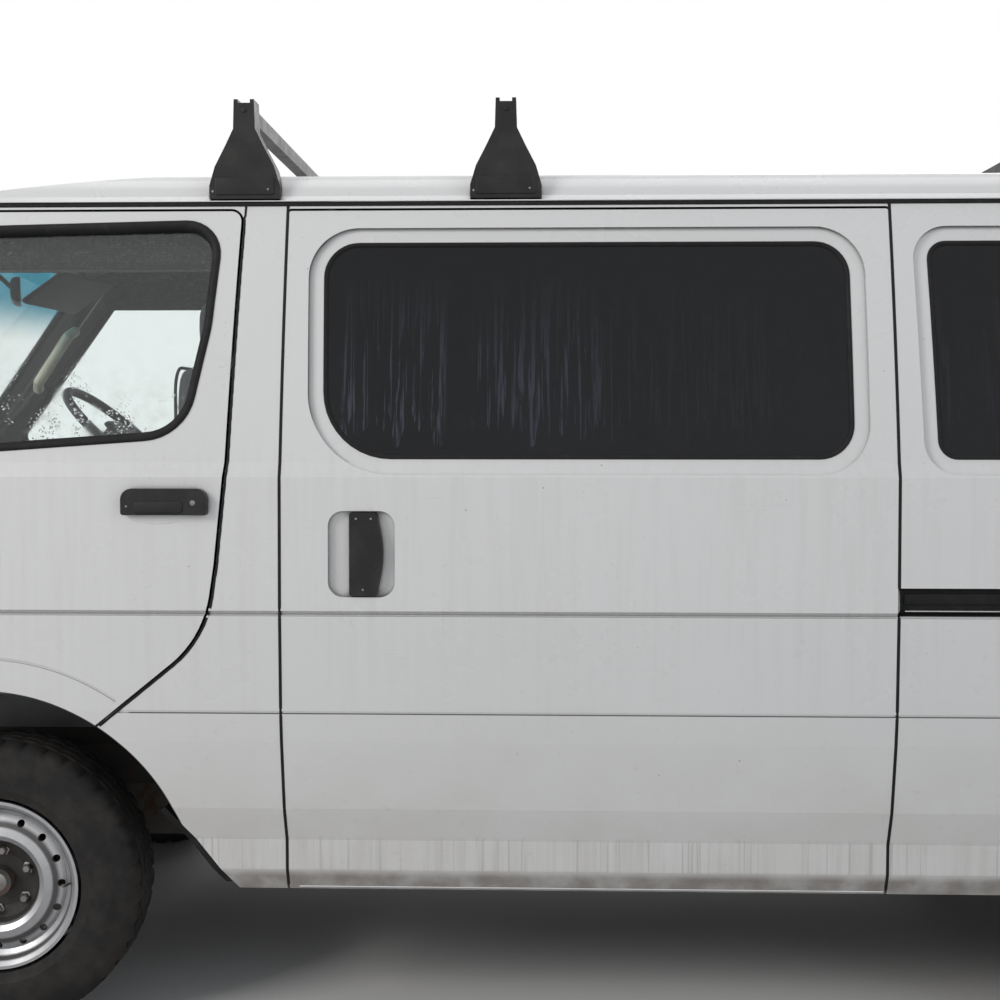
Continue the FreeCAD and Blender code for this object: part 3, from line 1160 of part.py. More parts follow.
TYRE = (
    # radius, distance outwards
    ("rim_radius - 14 + seat_gap", "rim_width / 2 - 9 - seat_gap"),
    ("rim_radius + 6", "rim_width / 2 - 9 - seat_gap"),
    ("rim_radius + 14", "rim_width / 2 + 4"),
    ("rim_radius + 42", "tyre_width / 2 - 3"),
    ("rim_radius + 70", "tyre_width / 2"),
    ("tyre_radius - 26", "tyre_width / 2 - 5"),
    ("tyre_radius - 8", "tyre_width / 2 - 16"),
    ("tyre_radius", "tyre_width / 2 - 32"),
)
RIM = (
    # inside the flange, inside the rim's outer face
    (0, 0), (0, 7), (14, 9), (17, 30), (30, 42), (30, "rim_width - 44"), (17, "rim_width - 30"),
    (14, "rim_width - 9"), (0, "rim_width - 7"), (0, "rim_width"), (7, "rim_width"), (21, "rim_width - 10"),
    (24, "rim_width - 27"), (37, "rim_width - 41"), (37, 62), (46, 38), (70, 28), (83, 24), (99, 34),
    (113, 58), (134, 60), ("rim_radius - hub_radius", 60), ("rim_radius - hub_radius", 52), (132, 52),
    (107, 44), (95, 22), (83, 14), (68, 19), (43, 29), (35, 34), (22, 24), (18, 10), (7, 0),
)


def tyre_outline():
    """The tyre's section: the table outwards, then the same mirrored inwards."""
    outer = list(TYRE)
    inner = [(radius, f"-({width})") for radius, width in reversed(TYRE)]
    return outer + inner


def rim_outline():
    """The rim's section from the table."""
    return [(f"rim_radius - ({drop})", f"rim_width / 2 - ({inward})") for drop, inward in RIM]


AXLES = (
    # name, along the van, side
    ("front_left", "front_axle_x", -1),
    ("front_right", "front_axle_x", 1),
    ("rear_left", "rear_axle_x", -1),
    ("rear_right", "rear_axle_x", 1),
)
for name, axle, side in AXLES:
    outwards = Rotation(Vector(1, 0, 0), -90 * side)
    tyre = revolve(f"{name}_tyre_body", tyre_outline())
    rim = ring_of_holes(revolve(f"{name}_rim_body", rim_outline()), f"{name}_rim",
                        "hole_radius", "hole_circle", "hole_count")
    for item in (tyre, rim):
        item.Placement = Placement(Vector(), outwards)
        bind(item, x=axle, y=f"{side} * wheel_y", z="tyre_radius")
    subpart(f"{name}_tyre", tyre)
    subpart(f"{name}_rim", rim)

spare_tyre = revolve("spare_tyre_body", tyre_outline())
spare_rim = revolve("spare_rim_body", rim_outline())
for item in (spare_tyre, spare_rim):
    item.Placement = Placement(Vector(), Rotation(Vector(1, 0, 0), 180))
    bind(item, x="spare_x", z="spare_z")
subpart("spare_wheel", compound("spare_pair", spare_tyre, spare_rim))

for name, side in (("left", -1), ("right", 1)):
    # The upright turns on its ball joints and carries the spindle, the disc and the wheel flange.
    upright_span = both("kingpin_y - arm_half_width / 2", "kingpin_y + arm_half_width / 2")[(side + 1) // 2]
    pieces = [box(f"{name}_upright", arm_span, upright_span,
                  ("tyre_radius - upright_reach", "tyre_radius + upright_reach"))]
    spindle_start = f"{side} * kingpin_y" if side > 0 else "-(wheel_y + rim_width * 0.35)"
    pieces.append(cylinder(f"{name}_spindle", "spindle_radius", "wheel_y + rim_width * 0.35 - kingpin_y",
                           "front_axle_x", spindle_start, "tyre_radius", "y"))
    disc_start = "wheel_y - rim_width * 0.2" if side > 0 else "-(wheel_y + rim_width * 0.1)"
    pieces.append(cylinder(f"{name}_disc", "disc_radius", "rim_width * 0.3", "front_axle_x", disc_start,
                           "tyre_radius", "y"))
    pieces.append(wheel_flange(name, "front_axle_x", side))
    subpart(f"{name}_knuckle", fuse(f"{name}_knuckle_parts", *pieces))

subpart("fuel_tank", pad("tank", "YZ_Plane", (
    ("tank_inner_y", "tank_low_z + tank_corner"), ("tank_inner_y + tank_corner", "tank_low_z"),
    ("tank_inner_y + tank_width - tank_corner", "tank_low_z"),
    ("tank_inner_y + tank_width", "tank_low_z + tank_corner"),
    ("tank_inner_y + tank_width", "floor_low_z - seat_gap"), ("tank_inner_y", "floor_low_z - seat_gap"),
), "tank_length", x="tank_front_x"))

# Cab: dashboard, steering wheel and seats.

dash = pad("dash", "XZ_Plane", (
    ("dash_front_x", "dash_high_z - 30"), ("dash_front_x + 60", "dash_low_z"),
    ("dash_rear_x - 60", "dash_low_z"), ("dash_rear_x", "dash_low_z + 60"),
    ("dash_rear_x - 30", "dash_high_z - 20"), ("dash_rear_x - 90", "dash_high_z"),
), "2 * dash_half_width", y="dash_half_width")
dash_legs = [box(f"dash_leg_{number}", ("dash_front_x + 80", f"{arch_front_x} - seat_gap"), span,
                 ("floor_z", "dash_low_z + 10"))
             for number, span in enumerate(both("dash_half_width - 60", "dash_half_width"))]
shroud = DOC.addObject("Part::Cylinder", "shroud")
tilt = Rotation(Vector(0, 1, 0), v.wheel_tilt)
wheel_centre = Vector(v.wheel_centre_x, v.driver_y, v.wheel_centre_z)
shroud_start = wheel_centre - tilt.multVec(Vector(0, 0, v.column_length + v.shroud_length + v.seat_gap))
shroud.Placement = Placement(shroud_start, tilt)
bind(shroud, Radius="shroud_radius", Height="shroud_length")
subpart("dashboard", fuse("dash_with_legs", dash, shroud, *dash_legs))

rim_ring = Part.makeTorus(v.steering_wheel_radius, v.steering_rim_radius)
hub_low = Vector(0, 0, v.steering_rim_radius + 1 - v.steering_hub_height)
hub = Part.makeCylinder(v.steering_hub_radius, v.steering_hub_height, hub_low)
column = Part.makeCylinder(v.column_radius, v.column_length, Vector(0, 0, -v.column_length))
spokes = []
for turn in (-90, 0, 90):
    spoke_corner = Vector(0, -v.spoke_width / 2, -v.spoke_thickness + 2)
    spoke = Part.makeBox(v.steering_wheel_radius, v.spoke_width, v.spoke_thickness, spoke_corner)
    spoke.rotate(Vector(), Vector(0, 0, 1), turn)
    spokes.append(spoke)
steering = rim_ring.fuse([hub, column] + spokes)
subpart("steering_wheel", feature("steering_wheel_parts", one_shape(steering), Placement(wheel_centre, tilt)))

cushion_low = "cab_step_z + seat_gap"
seat_top = f"{cushion_low} + cushion_thickness"
back_top = f"{seat_top} + backrest_height"
seat_pieces = []
for name, side in (("driver_seat", 1), ("passenger_seat", -1)):
    span = ("driver_y - seat_half_width", "driver_y + seat_half_width")
    span = span if side > 0 else (f"-({span[1]})", f"-({span[0]})")
    rest_span = (f"{span[0]} + seat_half_width / 2", f"{span[1]} - seat_half_width / 2")
    back_span = ("seat_rear_x - backrest_thickness", "seat_rear_x")
    seat_pieces.append(box(f"{name}_cushion", ("seat_front_x", "seat_rear_x"), span, (cushion_low, seat_top)))
    seat_pieces.append(box(f"{name}_back", back_span, span, (f"{seat_top} + seat_gap", back_top)))
    seat_pieces.append(box(f"{name}_headrest", ("seat_rear_x - backrest_thickness * 0.8", "seat_rear_x"),
                           rest_span, (f"{back_top} + seat_gap", f"{back_top} + headrest_height")))
subpart("front_seats", compound("seat_pieces", *seat_pieces))

# Fittings: door mirrors and handles, the sliding door's handle and the rack.

door_handle = side_prism((
    (v.handle_rear_x - v.handle_length, v.handle_z - v.handle_height / 2, v.handle_corner / 4),
    (v.handle_rear_x - v.handle_length, v.handle_z + v.handle_height / 2, v.handle_corner),
    (v.handle_rear_x, v.handle_z + v.handle_height / 2, v.handle_corner),
    (v.handle_rear_x, v.handle_z - v.handle_height / 2, v.handle_corner / 4)), -WIDE, 0)
door_handle = one_shape(door_handle.common(form(-v.handle_depth).cut(form(-v.seat_gap))))
mirror_arm = block(v.mirror_x, v.mirror_x + v.mirror_arm_width, v.mirror_width / 2 - v.mirror_reach,
                   -v.half_width / 2, v.mirror_low_z, v.mirror_low_z + v.mirror_arm_height)
mirror_arm = mirror_arm.cut(form(-v.seat_gap))
head_x = v.mirror_x - (v.mirror_depth - v.mirror_arm_width) / 2
mirror_head = Part.makeBox(v.mirror_depth, v.mirror_width, v.mirror_height,
                           Vector(head_x, -v.mirror_reach, v.mirror_low_z))
mirror_head = mirror_head.makeFillet(v.mirror_corner, mirror_head.Edges)
mirror_parts = one_shape(mirror_arm.fuse(mirror_head))
left_fittings = Part.makeCompound([door_handle, mirror_parts])
subpart("front_left_door_fittings", feature("left_fittings", left_fittings))
subpart("front_right_door_fittings", feature("right_fittings", mirror(left_fittings)))

grip_low = v.grip_recess_low_z + v.grip_end_gap
grip_high = v.grip_recess_high_z - v.grip_end_gap
slider_grip = side_prism((
    (v.grip_front_x, grip_low, 6),
    (v.grip_front_x, grip_high, 6),
    (v.grip_rear_x, grip_high, 8),
    (v.grip_rear_x + v.grip_bow, (grip_low + grip_high) / 2, v.grip_bow_radius),
    (v.grip_rear_x, grip_low, 8)), -WIDE, 0)
slider_grip = slider_grip.common(form(-v.grip_proud).cut(form(v.grip_recess_depth - v.seat_gap)))
subpart("sliding_door_handle", feature("slider_grip", one_shape(slider_grip)))

FOOT = (
    # half width along the gutter, height above the gutter
    ("rack_foot_width / 2", 10),
    ("rack_foot_width / 2", 40),
    ("rack_foot_width / 2 - 13", 83),
    ("rack_foot_width / 2 - 37", 129),
    ("rack_neck_width / 2", 168),
    ("rack_head_width / 2", "rack_height"),
    ("rack_head_width / 2 - rack_ear_width", "rack_height"),
    ("rack_head_width / 2 - rack_ear_width", "rack_height - rack_ear_height"),
)
foot_outline = [(half, f"gutter_z + {rise}") for half, rise in FOOT]
foot_outline += [(f"-({half})", f"gutter_z + {rise}") for half, rise in reversed(FOOT)]
gutter_y = "body_width / 2 - gutter_inset"
racks = []
for name in ("rack_front_x", "rack_middle_x", "rack_rear_x"):
    bar = box(f"{name}_bar", (f"{name} - rack_bar_size / 2", f"{name} + rack_bar_size / 2"),
              (f"-({gutter_y})", gutter_y),
              ("rack_bar_z - rack_bar_size / 2", "rack_bar_z + rack_bar_size / 2"))
    feet = []
    for number, start in enumerate((f"-({gutter_y}) + rack_foot_depth", f"{gutter_y} + 2")):
        feet.append(pad(f"{name}_foot_{number}", "XZ_Plane", foot_outline, "rack_foot_depth",
                        x=name, y=start))
    racks.append(fuse(f"{name}_set", bar, *feet))
DOC.recompute()
roof_top = form(-v.seat_gap)
subpart("roof_rack", feature("rack", Part.makeCompound([rack.Shape.cut(roof_top) for rack in racks])))


def check_document():
    """Every object is up to date and every sub-part is a sound solid."""
    DOC.recompute()
    for item in DOC.Objects:
        if "Invalid" in item.State or "Error" in item.State:
            raise ValueError(f"{item.Label} failed: {item.State}")
    for item in SUBPARTS:
        if item.Shape.isNull() or not item.Shape.isValid() or not item.Shape.Solids:
            raise ValueError(f"{item.Label} is not a sound solid")


check_document()
os.makedirs("parts", exist_ok=True)
for item in SUBPARTS:
    item.Shape.exportStep(f"parts/{item.Label}.step")
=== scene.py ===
from functools import lru_cache, partialmethod
from math import cos, pi, radians, sin, tan, tau

import bpy
import bmesh
from mathutils import Matrix, Vector
from mathutils.bvhtree import BVHTree


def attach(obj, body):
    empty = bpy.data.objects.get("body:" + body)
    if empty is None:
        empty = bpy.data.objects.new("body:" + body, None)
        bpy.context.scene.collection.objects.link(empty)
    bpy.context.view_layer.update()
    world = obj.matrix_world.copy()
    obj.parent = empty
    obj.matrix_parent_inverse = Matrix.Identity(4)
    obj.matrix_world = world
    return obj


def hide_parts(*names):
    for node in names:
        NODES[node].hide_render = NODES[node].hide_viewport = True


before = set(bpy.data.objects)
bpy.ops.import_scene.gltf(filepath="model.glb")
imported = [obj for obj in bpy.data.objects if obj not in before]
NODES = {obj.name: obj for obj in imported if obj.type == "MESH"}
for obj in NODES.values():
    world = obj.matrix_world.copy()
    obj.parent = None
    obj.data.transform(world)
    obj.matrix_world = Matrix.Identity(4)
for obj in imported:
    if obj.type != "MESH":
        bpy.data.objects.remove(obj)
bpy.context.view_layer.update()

MM = 0.001
AXLES = {"front": -1385, "rear": 1315}
WHEEL_HEIGHT = 333
MIRRORED = Matrix.Scale(-1, 4, (0, 1, 0))
SCENE = bpy.context.scene


# --- shader helpers, in metres

def put(socket, value):
    """Link a socket, or set its value."""
    if isinstance(value, bpy.types.NodeSocket):
        socket.id_data.links.new(value, socket)
    elif isinstance(value, (tuple, list)) and len(value) == 3 and len(socket.default_value) == 4:
        socket.default_value = (*value, 1)
    else:
        socket.default_value = value


def shade(tone, share):
    return tuple(min(1, c * share) for c in tone)


class Shader:
    """A material whose nodes are written by short calls."""

    def __init__(self, name, specular=0.5, **sockets):
        self.material = bpy.data.materials.new(name)
        self.material.use_nodes = True
        self.tree = self.material.node_tree
        self.bsdf = self.tree.nodes["Principled BSDF"]
        self.place = self.new("TexCoord").outputs["Object"]
        self.x, self.y, self.z = self.split(self.place)
        self.set(Specular_IOR_Level=specular, **sockets)

    def new(self, kind, inputs=(), **properties):
        node = self.tree.nodes.new("ShaderNode" + kind)
        for key, value in properties.items():
            setattr(node, key, value)
        for key, value in dict(inputs).items():
            put(node.inputs[key], value)
        return node

    def set(self, **sockets):
        for key, value in sockets.items():
            put(self.bsdf.inputs[key.replace("_", " ")], value)

    def stretched(self, scales):
        """Object coordinates, scaled along each axis."""
        return self.new("Mapping", {"Vector": self.place, "Scale": scales}).outputs[0] if scales else self.place

    def noise(self, scale, detail=3, rough=0.55, stretch=None, distortion=0):
        inputs = {"Vector": self.stretched(stretch), "Scale": scale, "Detail": detail, "Roughness": rough,
                  "Distortion": distortion}
        return self.new("TexNoise", inputs).outputs[0]

    def cells(self, scale, stretch=None, feature="F1"):
        return self.new("TexVoronoi", {"Vector": self.stretched(stretch), "Scale": scale}, feature=feature).outputs[0]

    def wave(self, scale, axis):
        return self.new("TexWave", {"Vector": self.place, "Scale": scale}, bands_direction=axis).outputs[1]

    def vector(self, operation, a, b=(0, 0, 0), output=0):
        return self.new("VectorMath", {0: a, 1: b}, operation=operation).outputs[output]

    def split(self, vector):
        return self.new("SeparateXYZ", {0: vector}).outputs

    def radius(self, centre, plane):
        """Distance from the line through a centre, at right angles to a plane."""
        flat = self.vector("MULTIPLY", self.vector("SUBTRACT", self.place, centre), plane)
        return self.vector("LENGTH", flat, output="Value")

    def wheel_radius(self, end):
        return self.radius((AXLES[end] * MM, 0, WHEEL_HEIGHT * MM), (1, 0, 1))

    def span(self, value, low, high, to_low=0, to_high=1):
        """A value between two ends, mapped smoothly to others."""
        return self.new("MapRange", {0: value, 1: low, 2: high, 3: to_low, 4: to_high},
                        interpolation_type="SMOOTHSTEP").outputs[0]

    def fold(self, operation, result, *values):
        for value in values:
            result = self.new("Math", {0: result, 1: value}, operation=operation).outputs[0]
        return result

    plus = partialmethod(fold, "ADD")
    times = partialmethod(fold, "MULTIPLY")
    most = partialmethod(fold, "MAXIMUM")

    def mix(self, factor, a, b):
        node = self.new("Mix", data_type="RGBA")
        for index, value in ((0, factor), (6, a), (7, b)):
            put(node.inputs[index], value)
        return node.outputs[2]

    def bump(self, *layers):
        """Layers of (height, distance in millimetres, strength), one over the other."""
        normal = None
        for height, distance, strength in layers:
            inputs = {"Height": height, "Distance": distance * MM, "Strength": strength}
            if normal:
                inputs["Normal"] = normal
            normal = self.new("Bump", inputs).outputs[0]
        put(self.bsdf.inputs["Normal"], normal)

    def made(self, colour, rough, *layers, **sockets):
        """The material with its colour, roughness and bump layers."""
        self.set(Base_Color=colour, Roughness=rough, **sockets)
        if layers:
            self.bump(*layers)
        return self.material


# --- materials
# Heights and places in them are the van's own coordinates.

# Height bands of the painted shade lines along the side groove and crease.
GROOVE_SHADE_BAND, CREASE_SHADE_BAND = (0.9602, 0.9607, 0.962, 0.975), (0.7412, 0.7422, 0.7438, 0.7448)
ARCHES = {"front": 0.455, "rear": 0.388}


def white_paint():
    """Old white paint: road dust, rain streaks, rusty chips, fine scratches, and painted shade along two lines on the
    sides, in shut lines and corners, and along the bottom edge.
    """
    s = Shader("white_paint", Coat_Weight=0.55, Coat_Roughness=0.12)
    tone = (0.77, 0.775, 0.78)

    def band(low, low_full, high_full, high):
        return s.span(s.z, high, high_full), s.span(s.z, low, low_full)

    streaks = s.span(s.noise(1, 4, 0.6, (46, 46, 2.2)), 0.42, 0.72)
    fine = s.span(s.noise(1, 3, 0.6, (120, 120, 1.5)), 0.52, 0.7)
    film = s.times(s.span(s.z, 0.85, 0.36), s.span(s.noise(5, 5, 0.6), 0.25, 0.75, 0.35, 1))
    sill = s.times(*band(0.366, 0.374, 0.435, 0.455), s.most(fine, s.times(streaks, 0.4)))
    # Painted shade: a dark brown band along the bottom edge, where the body turns under, with mottled road dirt in
    # it.
    edge = s.times(s.span(s.z, 0.378, 0.35, 0, 0.75), s.span(s.noise(12, 4), 0.2, 0.7, 0.4, 1))
    run = s.times(*band(0.55, 1.0, 1.25, 1.42), streaks)
    grime = s.times(s.span(s.noise(38, 6, 0.7), 0.6, 0.78), s.span(s.z, 1.3, 0.4, 0.05, 0.3))
    chips = s.times(s.span(s.cells(23), 0.045, 0.02), s.span(s.noise(3.1, 2), 0.55, 0.66))
    lines = s.span(s.cells(1, (5, 5, 210), "DISTANCE_TO_EDGE"), 0.018, 0.0)
    scratch = s.times(lines, s.span(s.noise(6.3, 2), 0.62, 0.7, 0, 0.6))
    outward = s.new("TexCoord").outputs["Normal"]
    sideways = s.split(outward)["Y"]
    flank = s.span(s.times(sideways, sideways), 0.4, 0.5)
    # Painted shade: dark lines along the groove and the crease on the van's sides, only on faces that look sideways.
    groove_shade = s.times(*band(*GROOVE_SHADE_BAND), 0.75)
    crease_shade = s.times(*band(*CREASE_SHADE_BAND), s.span(s.x, -1.06, -1.05), 0.8)
    # Inner faces of the cab look towards the van's middle, and have dark trim.
    towards = s.vector("MULTIPLY", s.vector("ADD", s.place, (0, 0, -1.2)), (0.43, 1.25, 1.33))
    facing = s.vector("DOT_PRODUCT", towards, outward, "Value")
    cab = s.times(s.span(facing, -0.12, -0.2), s.span(s.x, -0.6, -0.63))
    colour = s.mix(s.noise(1.3, 4), shade(tone, 0.94), tone)
    for share, layer in (
            (s.times(film, 0.3), (0.42, 0.37, 0.31)), (s.times(sill, 0.4), (0.27, 0.26, 0.25)),
            (edge, (0.1, 0.075, 0.055)), (s.times(run, 0.1), (0.45, 0.42, 0.38)), (grime, (0.34, 0.3, 0.26)),
            (chips, (0.16, 0.075, 0.04)), (scratch, (0.52, 0.51, 0.5)),
            (s.times(s.most(groove_shade, crease_shade), flank), (0.03, 0.028, 0.026)),
            (cab, s.mix(s.noise(120, 3), (0.035, 0.035, 0.037), (0.06, 0.06, 0.062)))):
        colour = s.mix(share, colour, layer)
    for end, arch in ARCHES.items():
        colour = s.mix(s.span(s.wheel_radius(end), arch + 0.003, arch + 0.0005), colour, (0.012, 0.012, 0.012))
    # Painted shade: ambient occlusion darkens the paint in each gap, recess and corner.
    gap_shade = s.new("AmbientOcclusion", {"Distance": 0.022}, samples=6, only_local=False).outputs["AO"]
    colour = s.mix(s.span(gap_shade, 0.62, 0.3), colour, (0.012, 0.011, 0.01))
    rough = s.plus(s.span(s.noise(9, 4), 0.3, 0.8, 0.26, 0.4), s.times(film, 0.22), s.times(chips, 0.4))
    return s.made(colour, rough, (s.noise(520, 2), 0.12, 0.35), (s.noise(2.4, 2), 4, 0.12), (chips, 0.4, -0.5))


def tinted_glass():
    """Dark side glass with streaks of old condensation low on the pane."""
    s = Shader("side_glass", 0.16, IOR=1.5)
    columns = s.noise(1, 5, 0.62, (80, 0, 3), 0.5)
    fine = s.noise(1, 3, 0.6, (260, 0, 9))
    # Three groups of streaks, from the front to the rear.
    first = s.times(s.span(s.x, -0.6, -0.57), s.span(s.x, -0.345, -0.36))
    second = s.times(s.span(s.x, -0.3, -0.28), s.span(s.x, 0.1, -0.1, 0.22, 0.8),
                     s.span(s.x, 0.5, 0.3, 0.3, 1))
    third = s.times(s.span(s.x, 0.7, 0.75), s.span(s.noise(1, 2, 0.4, (3.3, 0, 0.4)), 0.45, 0.65, 0, 0.5))
    ends = s.span(s.noise(1, 2, 0.5, (34, 0, 0)), 0.35, 0.65, -1.33, -1.42)
    streak = s.times(s.span(columns, 0.49, 0.55), s.span(fine, 0.38, 0.52, 0.25, 1), s.most(first, second, third),
                     s.span(s.z, 1.76, 1.42), s.span(s.plus(s.z, ends), 0, 0.006))
    film = s.most(streak, s.times(s.span(s.z, 1.65, 1.4), s.span(s.noise(7, 4), 0.35, 0.75, 0, 0.08)))
    dust = s.span(s.noise(30, 4), 0.5, 0.8, 0, 0.02)
    colour = s.mix(film, s.mix(dust, (0.006, 0.007, 0.009), (0.2, 0.2, 0.2)), (0.055, 0.058, 0.078))
    return s.made(colour, s.span(film, 0, 1, 0.045, 0.5), (s.noise(1.2, 2), 3, 0.1), (streak, 0.2, 0.25),
                  Transmission_Weight=s.span(film, 0, 0.6, 0.25, 0))


def clear_glass():
    """Clear glass with drops and dust, and a blue band along the top of the windscreen."""
    s = Shader("clear_glass", 0.16, IOR=1.45, Transmission_Weight=1.0)
    band = s.times(s.span(s.z, 1.62, 1.76), s.span(s.x, -1.3, -1.5),
                   s.span(s.times(s.y, s.y), 0.47, 0.45))
    drops = s.times(s.span(s.cells(120), 0.32, 0.16), s.span(s.noise(19, 3), 0.5, 0.62), s.span(s.z, 1.55, 1.32))
    dust = s.times(s.span(s.noise(24, 5), 0.4, 0.8), s.span(s.z, 1.62, 1.28, 0.03, 0.3))
    colour = s.mix(dust, s.mix(band, (0.9, 0.945, 0.935), (0.01, 0.24, 0.34)), (0.5, 0.5, 0.47))
    return s.made(colour, s.plus(s.times(dust, 0.5), 0.015), (drops, 0.5, 0.8))


def moulded(name, tone, rough=0.5, grain=260, depth=0.25, dust=0.25, coat=0.0):
    """Moulded plastic with grain, paler where dust has settled."""
    s = Shader(name, 0.3, Coat_Weight=coat, Coat_Roughness=0.2)
    film = s.span(s.noise(14, 5), 0.35, 0.8, 0, dust)
    worn = s.mix(s.noise(5), shade(tone, 0.8), shade(tone, 1.2))
    return s.made(s.mix(film, worn, (0.2, 0.19, 0.17)), s.span(s.noise(20), 0, 1, rough - 0.08, rough + 0.12),
                  (s.cells(grain), depth, 0.5), (s.noise(40, 2), 0.3, 0.15))


def rubber(name, tone, dust, specular, film, worn, layers):
    """Black rubber with dust in its pores; film and worn are (noise scale, ends of its span)."""
    s = Shader(name, specular)
    film = s.span(s.noise(film[0], 6, 0.65), *film[1:])
    return s.made(s.mix(film, tone, dust), s.span(s.noise(worn[0]), 0, 1, *worn[1:]),
                  *((s.noise(*noise), distance, strength) for noise, distance, strength in layers))


def metal(name, tone, rough=0.35, brushed=(1, 1, 1), rust=0.0, metallic=1.0, grime=0.2, underside=None):
    """Metal with grime, brushed marks and a share of rust; black below a height."""
    s = Shader(name, Metallic=metallic)
    marks = s.noise(1, 4, 0.6, [90 * b for b in brushed])
    spots = s.span(s.noise(17, 6, 0.7), 0.62 - 0.3 * rust, 0.74 - 0.2 * rust, 0, min(1, rust * 2))
    dirt = s.span(s.noise(8, 5), 0.4, 0.8, 0, grime)
    colour = s.mix(dirt, s.mix(marks, shade(tone, 0.85), tone), (0.12, 0.1, 0.085))
    colour = s.mix(spots, colour, (0.17, 0.07, 0.032))
    if underside:
        front_face = s.times(s.span(s.x, -1.83, -1.84), s.span(s.z, underside, underside + MM))
        coating = s.mix(s.noise(9, 4), (0.012, 0.012, 0.012), (0.035, 0.032, 0.028))
        colour = s.mix(s.most(s.span(s.z, underside + MM, underside), front_face), colour, coating)
    return s.made(colour, s.plus(s.span(marks, 0, 1, rough - 0.06, rough + 0.12), s.times(spots, 0.35)),
                  (marks, 0.15, 0.3), (s.noise(130), 0.25, 0.3 + rust))


def wheel_paint():
    """Silver wheel paint, darkened in the bowl and at the bead, with painted shade in a narrow ring just outside the
    bowl.
    """
    s = Shader("wheel_silver", Metallic=0.75)
    colour = s.mix(s.noise(60, 4), (0.4, 0.405, 0.42), (0.5, 0.505, 0.52))
    rough = s.span(s.noise(90), 0, 1, 0.28, 0.46)
    for end in AXLES:
        reach = s.wheel_radius(end)
        bowl = s.span(reach, 0.1, 0.094, 0, 0.94)
        # The groove band is painted shade; the bowl and bead bands are darkened as well.
        groove_shade = s.times(s.span(reach, 0.127, 0.133), s.span(reach, 0.149, 0.139, 0, 0.8))
        bead = s.times(s.span(reach, 0.168, 0.173), s.span(reach, 0.181, 0.177, 0, 0.75))
        dark = s.times(s.most(bowl, groove_shade, bead), s.span(reach, 0.6, 0.5))
        colour = s.mix(dark, colour, s.mix(s.noise(30, 4), (0.012, 0.011, 0.01), (0.04, 0.034, 0.028)))
        rough = s.plus(rough, s.times(dark, 0.3))
    specks = s.span(s.noise(44, 6, 0.7), 0.62, 0.76, 0, 0.5)
    return s.made(s.mix(specks, colour, (0.1, 0.08, 0.06)), rough, (s.noise(130), 0.25, 0.3))


def spare_finish():
    """The spare wheel: rubber outside, painted steel inside."""
    s = Shader("spare_wheel_finish")
    outer = s.span(s.radius((1.985, 0, 0), (1, 1, 0)), 0.196, 0.2)
    steel = s.mix(s.noise(30, 4), (0.3, 0.3, 0.31), (0.42, 0.42, 0.43))
    tread = s.mix(s.noise(11, 5), (0.02, 0.02, 0.021), (0.07, 0.06, 0.05))
    return s.made(s.mix(outer, steel, tread), s.span(s.noise(40), 0, 1, 0.5, 0.8),
                  (s.noise(200, 4), 0.3, 0.4), Metallic=s.span(outer, 0, 1, 0.6, 0))


def lens(name, tone, ribs, axis="Y", transmission=0.75):
    """A lamp lens with moulded ribs and a fine prism pattern."""
    s = Shader(name, IOR=1.49, Transmission_Weight=transmission, Coat_Weight=0.4, Coat_Roughness=0.05)
    film = s.span(s.noise(25, 4), 0.4, 0.8, 0, 0.12)
    return s.made(s.mix(film, tone, (0.35, 0.33, 0.3)), s.span(s.noise(40), 0, 1, 0.06, 0.16),
                  (s.wave(ribs, axis), 1.2, 0.6), (s.cells(150, feature="SMOOTH_F1"), 0.4, 0.35))


def cloth(name, tone, thread=900):
    """Woven seat cloth with flecks, sheen and wear."""
    s = Shader(name, 0.2, Sheen_Weight=0.35, Sheen_Roughness=0.5)
    warp, weft, rise = (s.wave(thread / 6, axis) for axis in "XYZ")
    weave = s.most(s.times(warp, weft), rise)
    flecks = s.span(s.noise(260, 2), 0.55, 0.66, 0, 0.4)
    colour = s.mix(flecks, s.mix(s.noise(6, 4), shade(tone, 0.8), tone), (0.3, 0.32, 0.36))
    return s.made(s.mix(s.times(weave, 0.35), colour, shade(tone, 0.5)), s.span(s.noise(12), 0, 1, 0.75, 0.95),
                  (weave, 0.4, 0.5), (s.noise(60), 0.5, 0.3))


def mirror():
    """Silvered glass with a little dust."""
    s = Shader("mirror_glass", Metallic=1.0)
    return s.made(s.mix(s.noise(9), (0.78, 0.8, 0.82), (0.86, 0.87, 0.88)),
                  s.span(s.noise(30, 5), 0.5, 0.8, 0.015, 0.12))


PAINT = white_paint()
SIDE_GLASS = tinted_glass()
CLEAR_GLASS = clear_glass()
MIRROR = mirror()
RUBBER = rubber("rubber", (0.01, 0.01, 0.011), (0.13, 0.12, 0.105), 0.22, (22, 0.5, 0.85, 0, 0.16), (60, 0.5, 0.75),
                [((190, 4), 0.25, 0.4)])
TYRE = rubber("tyre_rubber", (0.011, 0.011, 0.012), (0.06, 0.05, 0.04), 0.3, (11, 0.35, 0.8, 0, 0.55),
              (50, 0.62, 0.86), [((240, 4), 0.3, 0.4), ((30,), 0.6, 0.2)])
WHEEL = wheel_paint()
SPARE = spare_finish()
TRIM = moulded("black_trim", (0.012, 0.012, 0.013), 0.4, dust=0.1)
BUMPER = moulded("bumper_black", (0.026, 0.026, 0.027), 0.55)
DASH = moulded("dash_plastic", (0.055, 0.056, 0.06), 0.6, grain=420, depth=0.35)
TRIM_GREY = moulded("cab_trim", (0.17, 0.17, 0.175), 0.6, grain=380, depth=0.3, dust=0.2)
BEIGE = moulded("beige_trim", (0.82, 0.79, 0.64), 0.5, grain=420, depth=0.2, dust=0.2)
